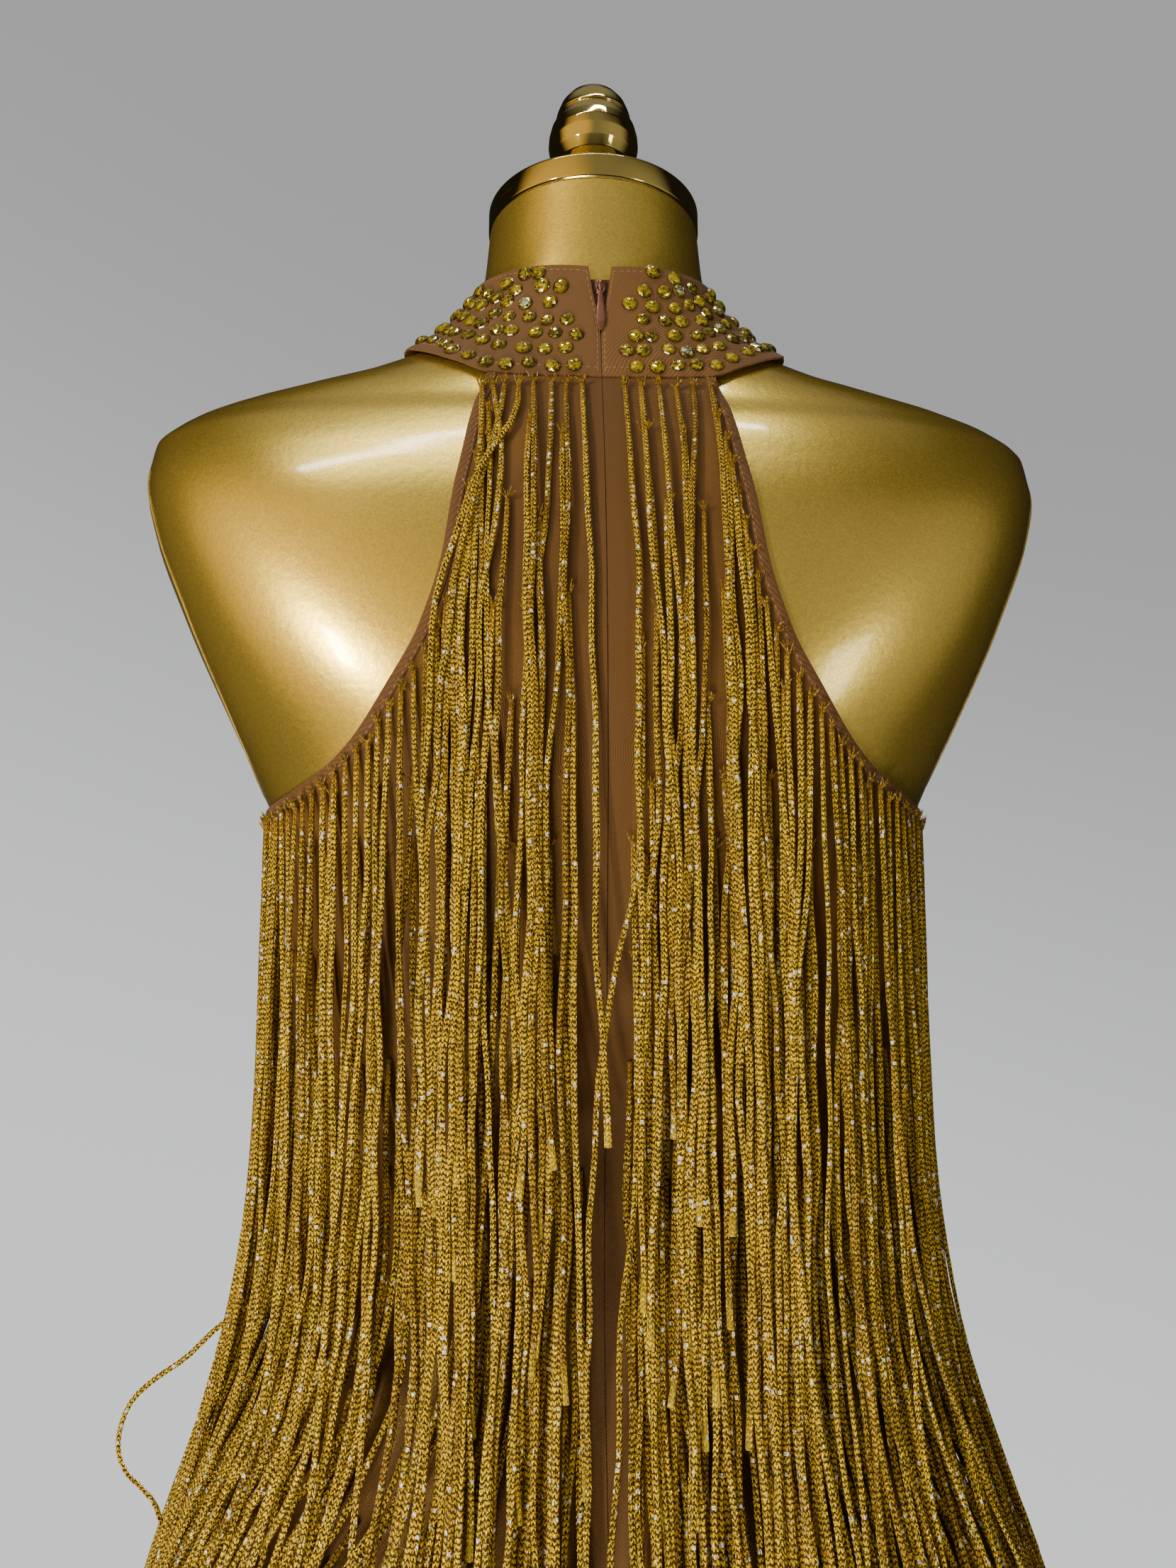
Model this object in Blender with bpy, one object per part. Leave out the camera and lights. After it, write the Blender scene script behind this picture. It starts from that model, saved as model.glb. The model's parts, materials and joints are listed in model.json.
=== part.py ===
"""A halter-neck tassel dress in stretch mesh, on the limbless dress form that it is shown on.

Metres, +Z up. The back of the garment faces -Y, its front faces +Y and the wearer's right is +X. The origin is the
middle of the base's underside. Angles go round the body in degrees, from 0 at the centre back, through 90 at the
wearer's right side, to 180 at the centre front.
"""

import math
from bisect import bisect_right
from collections import namedtuple
from itertools import product

import bmesh
import bpy
from mathutils import Vector

MM = 0.001
UP = Vector((0.0, 0.0, 1.0))

SEAM_GAP = 0.3 * MM

# Dress form: sections of the body, from the hips up to the neck. Squareness is the power of the outline's curve.
BodySection = namedtuple("BodySection", "height half_width back_depth front_depth squareness")
BODY_SECTIONS = (
    BodySection(0.720, 0.158, 0.096, 0.086, 2.3),
    BodySection(0.780, 0.167, 0.108, 0.090, 2.3),
    BodySection(0.850, 0.172, 0.116, 0.094, 2.3),
    BodySection(0.900, 0.166, 0.113, 0.096, 2.3),
    BodySection(0.950, 0.150, 0.096, 0.096, 2.3),
    BodySection(1.000, 0.129, 0.079, 0.092, 2.2),
    BodySection(1.035, 0.120, 0.073, 0.088, 2.2),
    BodySection(1.080, 0.122, 0.078, 0.092, 2.2),
    BodySection(1.130, 0.129, 0.089, 0.104, 2.3),
    BodySection(1.175, 0.134, 0.097, 0.122, 2.4),
    BodySection(1.205, 0.138, 0.101, 0.123, 2.3),
    BodySection(1.228, 0.1475, 0.103, 0.1175, 2.35),
    BodySection(1.260, 0.162, 0.103, 0.106, 2.7),
    BodySection(1.300, 0.180, 0.099, 0.088, 3.1),
    BodySection(1.340, 0.196, 0.091, 0.070, 3.2),
    BodySection(1.368, 0.2025, 0.081, 0.058, 3.0),
    BodySection(1.384, 0.2025, 0.074, 0.053, 2.7),
    BodySection(1.395, 0.195, 0.068, 0.050, 2.4),
    BodySection(1.404, 0.181, 0.065, 0.048, 2.1),
    BodySection(1.412, 0.159, 0.0625, 0.047, 1.9),
    BodySection(1.421, 0.126, 0.060, 0.047, 1.8),
    BodySection(1.432, 0.094, 0.0575, 0.047, 1.8),
    BodySection(1.445, 0.073, 0.055, 0.047, 1.9),
    BodySection(1.458, 0.060, 0.0535, 0.048, 2.0),
    BodySection(1.476, 0.0535, 0.052, 0.0505, 2.0),
    BodySection(1.504, 0.0505, 0.0505, 0.0505, 2.0),
)
BODY_RINGS = (
    0.720, 0.745, 0.800, 0.850, 0.900, 0.950, 1.000, 1.035, 1.080, 1.130, 1.175, 1.200, 1.210,
    1.218, 1.228, 1.242, 1.260, 1.300, 1.340, 1.368, 1.384, 1.395, 1.404, 1.412, 1.421, 1.432,
    1.445, 1.458, 1.476, 1.504,
)
BODY_COLUMNS = 36

# Stand: turned profiles, as radius and height, from the bottom up.
CAP_PROFILE = ((0, 1.5043), (0.0500, 1.5043), (0.0512, 1.5056), (0.0512, 1.5157), (0.0500, 1.5170), (0, 1.5170))
FINIAL_PROFILE = (
    (0, 1.5173), (0.0215, 1.5173), (0.0215, 1.5195), (0.0200, 1.5240), (0.0130, 1.5300), (0.0125, 1.5340),
    (0.0185, 1.5430), (0.0215, 1.5490), (0.0222, 1.5560), (0.0180, 1.5670), (0.0185, 1.5685),
    (0.0150, 1.5770), (0.0090, 1.5820), (0, 1.5840),
)
FLANGE_PROFILE = ((0, 0.7003), (0.024, 0.7003), (0.045, 0.7120), (0.045, 0.7197), (0, 0.7197))
POLE_PROFILE = ((0, 0.0753), (0.016, 0.0753), (0.016, 0.7000), (0, 0.7000))
SOCKET_PROFILE = ((0, 0.0223), (0.034, 0.0223), (0.034, 0.0300), (0.023, 0.0400), (0.021, 0.0750), (0, 0.0750))
BASE_PROFILE = ((0, 0), (0.187, 0), (0.190, 0.004), (0.190, 0.010), (0.186, 0.014), (0.060, 0.022), (0, 0.022))

# Cloth: distance of each wall's inner face from the form, and its thickness. The fringe's tapes lie on the panels.
PANEL_OFFSET = 2.25 * MM
PANEL_THICKNESS = 1.0 * MM
COLLAR_OFFSET = 2.25 * MM
COLLAR_THICKNESS = 1.6 * MM
FRINGE_GAP = 0.75 * MM
CLOTH_FACE = PANEL_OFFSET + PANEL_THICKNESS + FRINGE_GAP
TAPE_OFFSET = 0.9 * MM
TAPE_THICKNESS = 0.6 * MM
TAPE_HALF_WIDTH = 12 * MM
TAPE_BOTTOM = 0.9
TAPE_TOP = 1.4525

PANEL_COLUMNS = 13
SEAM_HALF_ANGLE = 0.06
CENTRE_HALF_ANGLE = 0.10

# Panel rows, from the hem up the side seam and round the armhole to the collar. The edge's angle is from the
# panel's centre line.
PanelRow = namedtuple("PanelRow", "centre_height edge_height edge_angle")
PANEL_ROWS = (
    PanelRow(0.745, 0.745, 90),
    PanelRow(0.800, 0.800, 90),
    PanelRow(0.850, 0.850, 90),
    PanelRow(0.900, 0.900, 90),
    PanelRow(0.950, 0.950, 90),
    PanelRow(1.000, 1.000, 90),
    PanelRow(1.035, 1.035, 90),
    PanelRow(1.080, 1.080, 90),
    PanelRow(1.130, 1.130, 90),
    PanelRow(1.175, 1.175, 90),
    PanelRow(1.203, 1.200, 90),
    PanelRow(1.214, 1.210, 90),
    PanelRow(1.226, 1.2180, 90),
    PanelRow(1.240, 1.2190, 78),
    PanelRow(1.256, 1.2215, 67),
    PanelRow(1.272, 1.2285, 56),
    PanelRow(1.288, 1.2400, 48),
    PanelRow(1.305, 1.2590, 41),
    PanelRow(1.324, 1.2850, 34.5),
    PanelRow(1.344, 1.3180, 30.5),
    PanelRow(1.364, 1.3500, 29.4),
    PanelRow(1.381, 1.3760, 30.4),
    PanelRow(1.3915, 1.3900, 31.2),
    PanelRow(1.410, 1.4100, 32.4),
)

# Drag folds that run in from under each arm: ridges in the cloth, each between two places of the body.
DragFold = namedtuple("DragFold", "from_angle from_height to_angle to_height half_width ridge")
DRAG_FOLDS = (
    DragFold(82, 1.190, 34, 1.095, 10 * MM, 1.5 * MM),
    DragFold(84, 1.135, 40, 1.050, 11 * MM, 1.6 * MM),
    DragFold(58, 1.225, 22, 1.150, 10 * MM, 1.3 * MM),
    DragFold(98, 1.150, 142, 1.075, 11 * MM, 1.5 * MM),
)
FOLD_END = 0.08
FOLD_FADE = 0.6
# Angle to each side over which a strand feels the folds under it.
FOLD_REACH = 5

# Collar: heights of its edges against the angle.
COLLAR_BOTTOM = (
    (0, 1.4000), (20, 1.4005), (36, 1.4020), (46, 1.4090), (60, 1.4200), (75, 1.4305), (90, 1.4350),
    (110, 1.4310), (130, 1.4160), (150, 1.3990), (180, 1.3920),
)
COLLAR_TOP = ((0, 1.4570), (45, 1.4625), (90, 1.4680), (135, 1.4570), (180, 1.4460))
COLLAR_COLUMNS = 44
COLLAR_STEPS = 4
# Half width of the notch at the centre back, against the height.
NOTCH = ((1.400, 0.15 * MM), (1.420, 0.15 * MM), (1.440, 3.8 * MM), (1.4575, 8.6 * MM))

# Zip slider and pull tab, about the tab's cross bar.
PIVOT_HEIGHT = 1.4480
SLIDER_HALF_WIDTH = 2.4 * MM
SLIDER_HALF_HEIGHT = 3.4 * MM
SLIDER_BODY = 1.5 * MM
BRIDGE_HALF_WIDTH = 0.9 * MM
BRIDGE_REACH = 2.6 * MM
BRIDGE_LEG = 0.8 * MM
BRIDGE_CLEAR = 0.9 * MM
BRIDGE_ROOF = 0.7 * MM
PULL_HALF_THICKNESS = 0.45 * MM
PULL_RAIL_SHARE = 0.62
PULL_CLEARANCE = 0.6 * MM
# The tab's outline, from its tip up: distance below the cross bar and half width.
PULL_OUTLINE = (
    (21.5 * MM, 1.3 * MM), (19.8 * MM, 2.3 * MM), (16.5 * MM, 2.7 * MM), (11.0 * MM, 2.0 * MM),
    (7.0 * MM, 1.6 * MM), (3.6 * MM, 2.1 * MM), (0.45 * MM, 2.1 * MM), (-0.45 * MM, 1.8 * MM),
)
PULL_WINDOW_CELL = 5

# Fringe: rows of locks that hang from narrow tapes on the cloth. Those round the body are open at the zip.
ROW_HEIGHTS = (1.160, 0.960, 0.760)
ROW_LOCKS = 32
ROW_OPENING = 6.5
ROW_LOCK_WIDTH = 8.0 * MM
STRAND_WIDTH = 3.4 * MM
COLLAR_STRAND_WIDTH = 2.8 * MM
FRINGE_LENGTH = 0.300
FRINGE_TAPE = 3.0 * MM
LOCK_THICKNESS = 1.8 * MM
LAYER_PITCH = 3.9 * MM
FALL_ALLOWANCE = 1.5 * MM
FALL_STEP = 0.006
FALL_TOLERANCE = 0.8 * MM
# Height above a row's tape at which strands from higher up start to move out over it, and have done so.
PASSING_START = 0.050
PASSING_END = 0.018
COLLAR_STRANDS = 8
COLLAR_STRAND_FIRST = 6.0 * MM
COLLAR_STRAND_PITCH = 6.0 * MM
COLLAR_ROW_HEIGHT = 1.3945
FRONT_STRANDS = 6
FRONT_STRAND_FIRST = 4.0 * MM
FRONT_STRAND_PITCH = 8.0 * MM
FRONT_ROW_HEIGHT = 1.3870
ARMHOLE_LOCKS = 8
ARMHOLE_FIRST = 53 * MM
ARMHOLE_PITCH = 12.8 * MM
ARMHOLE_INSET_ANGLE = 3.0
ARMHOLE_INSET_HEIGHT = 4.5 * MM
# The panel row where the armhole's edge starts, and the rows between the collar and the highest lock.
ARMHOLE_ROW = 12
ARMHOLE_START = 1.5

# Finishes: colour, roughness, metallic.
FINISHES = {
    "gold_lacquer": ((0.62, 0.40, 0.13), 0.28, 0.65),
    "gold_plate": ((0.86, 0.60, 0.24), 0.12, 1.0),
    "brown_mesh": ((0.20, 0.115, 0.045), 0.75, 0.0),
    "beaded_band": ((0.30, 0.18, 0.07), 0.50, 0.1),
    "zip_tape": ((0.13, 0.075, 0.035), 0.80, 0.0),
    "zip_metal": ((0.33, 0.17, 0.08), 0.35, 0.8),
    "gold_chainette": ((0.78, 0.52, 0.14), 0.42, 0.35),
    "steel": ((0.70, 0.60, 0.42), 0.25, 1.0),
}


def smooth_through(points):
    """A function that runs smoothly through the (place, value) points and never overshoots them."""
    places = [p[0] for p in points]
    values = [p[1] for p in points]
    widths = [b - a for a, b in zip(places, places[1:])]
    rises = [(b - a) / w for a, b, w in zip(values, values[1:], widths)]
    slopes = [rises[0]]
    for before, after, left, right in zip(rises, rises[1:], widths, widths[1:]):
        if before * after <= 0:
            slopes.append(0.0)
            continue
        near, far = 2 * right + left, right + 2 * left
        slopes.append((near + far) / (near / before + far / after))
    slopes.append(rises[-1])

    def value(place):
        place = min(max(place, places[0]), places[-1])
        i = min(bisect_right(places, place) - 1, len(widths) - 1)
        w = widths[i]
        t = (place - places[i]) / w
        start = (1 + 2 * t) * (1 - t) ** 2 * values[i] + t * (1 - t) ** 2 * w * slopes[i]
        end = t * t * (3 - 2 * t) * values[i + 1] - t * t * (1 - t) * w * slopes[i + 1]
        return start + end

    return value


half_width_at = smooth_through([(s.height, s.half_width) for s in BODY_SECTIONS])
back_depth_at = smooth_through([(s.height, s.back_depth) for s in BODY_SECTIONS])
front_depth_at = smooth_through([(s.height, s.front_depth) for s in BODY_SECTIONS])
squareness_at = smooth_through([(s.height, s.squareness) for s in BODY_SECTIONS])
collar_bottom_at = smooth_through(COLLAR_BOTTOM)
collar_top_at = smooth_through(COLLAR_TOP)
notch_at = smooth_through(NOTCH)


def turn_from_back(angle):
    """The angle from the centre back, 0 to 180, on either side."""
    return abs((angle + 180) % 360 - 180)


def body_point(angle, height):
    """The place on the form's skin at an angle and a height."""
    side, back = math.sin(math.radians(angle)), math.cos(math.radians(angle))
    depth = back_depth_at(height) if back > 0 else front_depth_at(height)
    n = squareness_at(height)
    radius = ((abs(side) / half_width_at(height)) ** n + (abs(back) / depth) ** n) ** (-1 / n)
    return Vector((radius * side, -radius * back, height))


def body_normal(angle, height):
    """The outward direction of the form's skin."""
    turn, lift = 0.2, 0.5 * MM
    around = body_point(angle + turn, height) - body_point(angle - turn, height)
    upward = body_point(angle, height + lift) - body_point(angle, height - lift)
    return around.cross(upward).normalized()


def off_body(angle, height, distance):
    """A place at a distance outside the form's skin."""
    return body_point(angle, height) + body_normal(angle, height) * distance


def fold_rise(angle, height):
    """How far the drag folds lift the cloth at a place."""
    side_angle = turn_from_back(angle)
    rise = 0.0
    degree = math.radians(1) * half_width_at(height)
    for fold in DRAG_FOLDS:
        along = Vector(((fold.to_angle - fold.from_angle) * degree, fold.to_height - fold.from_height))
        here = Vector(((side_angle - fold.from_angle) * degree, height - fold.from_height))
        share = min(max(here.dot(along) / along.length_squared, 0.0), 1.0)
        away = (here - along * share).length / fold.half_width
        fade = math.sin(math.pi * (FOLD_END + (1 - 2 * FOLD_END) * share)) ** FOLD_FADE
        rise = max(rise, fold.ridge * fade * math.exp(-away * away))
    return rise


def new_piece(name, mesh_maker, finish):
    """Make an object of a bmesh, with its faces turned out and its own material."""
    bmesh.ops.recalc_face_normals(mesh_maker, faces=mesh_maker.faces[:])
    mesh = bpy.data.meshes.new(name)
    mesh_maker.to_mesh(mesh)
    mesh_maker.free()
    mesh.shade_smooth()
    mesh.set_sharp_from_angle(angle=math.radians(40))
    material = bpy.data.materials.new(name)
    material.use_nodes = True
    colour, roughness, metallic = FINISHES[finish]
    shader = material.node_tree.nodes["Principled BSDF"]
    shader.inputs["Base Color"].default_value = (*colour, 1.0)
    shader.inputs["Roughness"].default_value = roughness
    shader.inputs["Metallic"].default_value = metallic
    mesh.materials.append(material)
    piece = bpy.data.objects.new(name, mesh)
    bpy.context.collection.objects.link(piece)
    return piece


def turned(name, profile, sides, finish):
    """A solid of revolution about the Z axis. The profile starts and ends on the axis."""
    shape = bmesh.new()
    bottom = shape.verts.new((0, 0, profile[0][1]))
    top = shape.verts.new((0, 0, profile[-1][1]))
    rings = []
    for radius, height in profile[1:-1]:
        turns = (2 * math.pi * i / sides for i in range(sides))
        rings.append([shape.verts.new((radius * math.sin(t), -radius * math.cos(t), height)) for t in turns])
    for i in range(sides):
        j = (i + 1) % sides
        shape.faces.new((bottom, rings[0][j], rings[0][i]))
        shape.faces.new((top, rings[-1][i], rings[-1][j]))
        for low, high in zip(rings, rings[1:]):
            shape.faces.new((low[i], low[j], high[j], high[i]))
    return new_piece(name, shape, finish)


def make_form():
    """The body of the dress form, lofted through its rings and closed at the hips and the neck."""
    shape = bmesh.new()
    angles = [360 * i / BODY_COLUMNS for i in range(BODY_COLUMNS)]
    rings = [[shape.verts.new(body_point(a, h)) for a in angles] for h in BODY_RINGS]
    for low, high in zip(rings, rings[1:]):
        for i in range(BODY_COLUMNS):
            j = (i + 1) % BODY_COLUMNS
            shape.faces.new((low[i], low[j], high[j], high[i]))
    for ring in (rings[0], rings[-1]):
        middle = shape.verts.new((0, 0, ring[0].co.z))
        for i in range(BODY_COLUMNS):
            shape.faces.new((middle, ring[i], ring[(i + 1) % BODY_COLUMNS]))
    return new_piece("form_body", shape, "gold_lacquer")


def make_stand():
    """The cap and finial on the neck, and the flange, pole, socket and base under the form."""
    turned("neck_cap", CAP_PROFILE, 32, "gold_plate")
    turned("finial", FINIAL_PROFILE, 24, "gold_plate")
    turned("pole_flange", FLANGE_PROFILE, 24, "steel")
    turned("pole", POLE_PROFILE, 16, "steel")
    turned("base_socket", SOCKET_PROFILE, 24, "steel")
    turned("base_plate", BASE_PROFILE, 40, "steel")


def cloth_wall(name, rows, offset, thickness, finish, folded=False):
    """A closed wall of cloth through rows of (angle, height) places."""
    shape = bmesh.new()
    faces = []
    for reach in (offset, offset + thickness):
        grid = []
        for row in rows:
            lifts = [fold_rise(a, h) if folded else 0.0 for a, h in row]
            grid.append([shape.verts.new(off_body(a, h, reach + lift)) for (a, h), lift in zip(row, lifts)])
        faces.append(grid)
    inner, outer = faces
    columns = len(rows[0])
    for grid in faces:
        for low, high in zip(grid, grid[1:]):
            for j in range(columns - 1):
                shape.faces.new((low[j], low[j + 1], high[j + 1], high[j]))
    for j in range(columns - 1):
        for i in (0, -1):
            shape.faces.new((inner[i][j], inner[i][j + 1], outer[i][j + 1], outer[i][j]))
    for i in range(len(rows) - 1):
        for j in (0, -1):
            shape.faces.new((inner[i][j], inner[i + 1][j], outer[i + 1][j], outer[i][j]))
    return new_piece(name, shape, finish)


def panel_place(row, share, angle):
    """Height of a panel's row at a share of the way out from the centre line."""
    height = row.centre_height + (row.edge_height - row.centre_height) * share
    return min(height, collar_bottom_at(turn_from_back(angle)) - SEAM_GAP)


def make_back_panel(name, side):
    """One half of the back, from the centre back seam to the side seam and the armhole."""
    rows = []
    for row in PANEL_ROWS:
        span = row.edge_angle - SEAM_HALF_ANGLE - CENTRE_HALF_ANGLE
        places = []
        for j in range(PANEL_COLUMNS + 1):
            share = j / PANEL_COLUMNS
            angle = side * (CENTRE_HALF_ANGLE + span * share)
            places.append((angle, panel_place(row, share, angle)))
        rows.append(places)
    return cloth_wall(name, rows, PANEL_OFFSET, PANEL_THICKNESS, "brown_mesh", folded=True)


def make_front_panel():
    """The front, cut in one piece from side seam to side seam."""
    rows = []
    for row in PANEL_ROWS:
        places = []
        for j in range(-PANEL_COLUMNS, PANEL_COLUMNS + 1):
            share = j / PANEL_COLUMNS
            angle = 180 + share * (row.edge_angle - SEAM_HALF_ANGLE)
            places.append((angle, panel_place(row, abs(share), angle)))
        rows.append(places)
    return cloth_wall("front_panel", rows, PANEL_OFFSET, PANEL_THICKNESS, "brown_mesh", folded=True)


def make_collar():
    """The beaded halter band round the neck, open at the centre back over the zip."""
    rows = []
    for i in range(COLLAR_STEPS + 1):
        rise = i / COLLAR_STEPS
        centre_height = collar_bottom_at(0) + (collar_top_at(0) - collar_bottom_at(0)) * rise
        start = math.degrees(math.asin(notch_at(centre_height) / back_depth_at(centre_height)))
        places = []
        for j in range(COLLAR_COLUMNS + 1):
            angle = start + (360 - 2 * start) * j / COLLAR_COLUMNS
            turn = turn_from_back(angle)
            height = collar_bottom_at(turn) + (collar_top_at(turn) - collar_bottom_at(turn)) * rise
            places.append((angle, height))
        rows.append(places)
    return cloth_wall("collar", rows, COLLAR_OFFSET, COLLAR_THICKNESS, "beaded_band")


def make_zip_tape():
    """The zip's tape, which lies under the centre back seam from the waist to the collar's notch."""
    heights = [h for h in BODY_RINGS if TAPE_BOTTOM <= h < TAPE_TOP - 2 * MM] + [TAPE_TOP]
    rows = []
    for height in heights:
        half_angle = math.degrees(math.atan(TAPE_HALF_WIDTH / back_depth_at(height)))
        rows.append([(share * half_angle, height) for share in (-1, 0, 1)])
    return cloth_wall("zip_tape", rows, TAPE_OFFSET, TAPE_THICKNESS, "zip_tape")


def blocks(xs, ys, zs, is_solid):
    """A closed mesh of the solid cells between the given cuts along X, Y and Z."""
    shape = bmesh.new()
    cuts = (xs, ys, zs)
    cells = [len(c) - 1 for c in cuts]
    corners = {}

    def corner(place):
        if place not in corners:
            corners[place] = shape.verts.new([c[i] for c, i in zip(cuts, place)])
        return corners[place]

    def filled(cell):
        return all(0 <= i < n for i, n in zip(cell, cells)) and is_solid(*cell)

    for cell in product(*map(range, cells)):
        if not filled(cell):
            continue
        for axis, side in product(range(3), (0, 1)):
            beyond = list(cell)
            beyond[axis] += 2 * side - 1
            if filled(beyond):
                continue
            ring = []
            for a, b in ((0, 0), (1, 0), (1, 1), (0, 1)):
                place = list(cell)
                place[axis] += side
                place[axis - 2] += a
                place[axis - 1] += b
                ring.append(corner(tuple(place)))
            shape.faces.new(ring)
    return shape


def pivot_depth():
    """Distance of the tab's cross bar behind the Z axis."""
    tape_face = -off_body(0, PIVOT_HEIGHT, TAPE_OFFSET + TAPE_THICKNESS).y
    lowest = -off_body(0, PIVOT_HEIGHT - SLIDER_HALF_HEIGHT, TAPE_OFFSET + TAPE_THICKNESS).y
    return max(tape_face, lowest) + SEAM_GAP + SLIDER_BODY + BRIDGE_CLEAR


def make_slider():
    """The zip's slider in the notch: a body with a bridge that the tab hangs on."""
    xs = (-SLIDER_HALF_WIDTH, -BRIDGE_HALF_WIDTH, BRIDGE_HALF_WIDTH, SLIDER_HALF_WIDTH)
    floor = BRIDGE_CLEAR
    ys = (floor + SLIDER_BODY, floor, -BRIDGE_CLEAR, -BRIDGE_CLEAR - BRIDGE_ROOF)
    leg = BRIDGE_REACH - BRIDGE_LEG
    zs = (-SLIDER_HALF_HEIGHT, -BRIDGE_REACH, -leg, leg, BRIDGE_REACH, SLIDER_HALF_HEIGHT)

    def is_solid(i, j, k):
        if j == 0:
            return True
        if j == 1:
            return i == 1 and k in (1, 3)
        return i == 1 and k in (1, 2, 3)

    slider = new_piece("zip_slider", blocks(xs, ys, zs, is_solid), "zip_metal")
    slider.location = (0, -pivot_depth(), PIVOT_HEIGHT)
    return slider


def pull_tilt():
    """Angle, from straight down, at which the tab lies on the collar's outer face."""
    tilt = 0.0
    for distance, half_width in PULL_OUTLINE:
        height = PIVOT_HEIGHT - distance
        if distance <= 0 or notch_at(height) > half_width + SEAM_GAP:
            continue
        collar_face = -off_body(0, height, COLLAR_OFFSET + COLLAR_THICKNESS).y
        rise = collar_face + PULL_CLEARANCE + PULL_HALF_THICKNESS - pivot_depth()
        tilt = max(tilt, math.atan2(rise, distance))
    return tilt


def make_pull():
    """The pull tab, whose window goes round the slider's bridge. Its origin is on the cross bar's axis."""
    zs = [-distance for distance, _ in PULL_OUTLINE]
    xs = (-2, -1, 1, 2)
    ys = (-PULL_HALF_THICKNESS, PULL_HALF_THICKNESS)
    shape = blocks(xs, ys, zs, lambda i, j, k: not (i == 1 and k == PULL_WINDOW_CELL))
    half_widths = {z: half for z, (_, half) in zip(zs, PULL_OUTLINE)}
    for vert in shape.verts:
        half = half_widths[min(zs, key=lambda z: abs(z - vert.co.z))]
        share = 1 if abs(vert.co.x) > 1.5 else PULL_RAIL_SHARE
        vert.co.x = math.copysign(share * half, vert.co.x)
    pull = new_piece("zip_pull", shape, "zip_metal")
    pull.location = (0, -pivot_depth(), PIVOT_HEIGHT)
    pull.rotation_euler = (-pull_tilt(), 0, 0)
    return pull


def body_reach(x, y, height):
    """How far out a place is, as a share of the form's outline there, with its slope along X and Y."""
    half_width, n = half_width_at(height), squareness_at(height)
    depth = back_depth_at(height) if y < 0 else front_depth_at(height)
    u, v = abs(x) / half_width, abs(y) / depth
    reach = (u ** n + v ** n) ** (1 / n)
    slope_x = math.copysign(reach ** (1 - n) * u ** (n - 1) / half_width, x)
    slope_y = math.copysign(reach ** (1 - n) * v ** (n - 1) / depth, y)
    return reach, slope_x, slope_y


def fold_cover(x, y, height):
    """The highest that the drag folds stand near a place."""
    angle = math.degrees(math.atan2(x, -y))
    return max(fold_rise(angle + turn, height) for turn in (-FOLD_REACH, 0, FOLD_REACH))


def pushed_clear(place, gap):
    """Move a place level and outward until it is a gap clear of the form. Returns it and the way out."""
    x, y, height = place
    gap += fold_cover(x, y, height)
    for _ in range(4):
        reach, slope_x, slope_y = body_reach(x, y, height)
        rise = (body_reach(x, y, height + MM)[0] - body_reach(x, y, height - MM)[0]) / (2 * MM)
        level = math.hypot(slope_x, slope_y)
        short = gap - (reach - 1) / math.hypot(level, rise)
        if short > 0:
            move = short * math.hypot(level, rise) / level
            x += move * slope_x / level
            y += move * slope_y / level
    return Vector((x, y, height)), Vector((slope_x, slope_y, 0)).normalized()


def layers_under(height, root_height):
    """How many rows of fringe lie under a strand at a height. It grows evenly as the strand passes each row."""
    layers = 0.0
    for row in ROW_HEIGHTS:
        if row < root_height - MM:
            share = (row + PASSING_START - height) / (PASSING_START - PASSING_END)
            layers += min(max(share, 0.0), 1.0)
    return layers


def thinned(path, tolerance):
    """The fewest places of a path that keep it within a tolerance. Each place is (point, outward)."""
    if len(path) < 3:
        return path
    start, end = path[0][0], path[-1][0]
    run = (end - start).normalized()
    strays = [((p - start) - run * (p - start).dot(run)).length for p, _ in path]
    far = max(range(len(path)), key=lambda i: strays[i])
    if strays[far] <= tolerance:
        return [path[0], path[-1]]
    return thinned(path[:far + 1], tolerance)[:-1] + thinned(path[far:], tolerance)


def fall(place, outward, length):
    """A strand's inner face, which falls straight from its root and is pushed out by what is under it."""
    path = [(place, outward)]
    root_height = height = place.z
    while height > root_height - length + 1e-6:
        height = max(height - FALL_STEP, root_height - length)
        gap = CLOTH_FACE + FALL_ALLOWANCE + LAYER_PITCH * layers_under(height, root_height)
        place, outward = pushed_clear((place.x, place.y, height), gap)
        path.append((place, outward))
    return thinned(path, FALL_TOLERANCE)


def tape_column(shape, place, outward):
    """One cut of the narrow tape that the strands hang from: its lower corners and its upper edge."""
    above, _ = pushed_clear((place.x, place.y, place.z + FRINGE_TAPE), CLOTH_FACE)
    return (
        shape.verts.new(place),
        shape.verts.new(place + outward * LOCK_THICKNESS),
        shape.verts.new(above + outward * (0.5 * LOCK_THICKNESS)),
    )


def hang_strand(shape, left, right, path, width):
    """Draw a three-sided strand down its path from the two tape columns at its root."""
    ring = None
    for place, outward in path[1:]:
        along = UP.cross(outward) * (0.5 * width)
        corners = [shape.verts.new(p) for p in (place - along, place + outward * LOCK_THICKNESS, place + along)]
        if ring is None:
            shape.faces.new((left[0], left[1], corners[1], corners[0]))
            shape.faces.new((left[1], right[1], corners[1]))
            shape.faces.new((right[1], right[0], corners[2], corners[1]))
            shape.faces.new((right[0], left[0], corners[0], corners[2]))
        else:
            for i in range(3):
                j = (i + 1) % 3
                shape.faces.new((ring[i], ring[j], corners[j], corners[i]))
        ring = corners
    shape.faces.new(ring)


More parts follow.
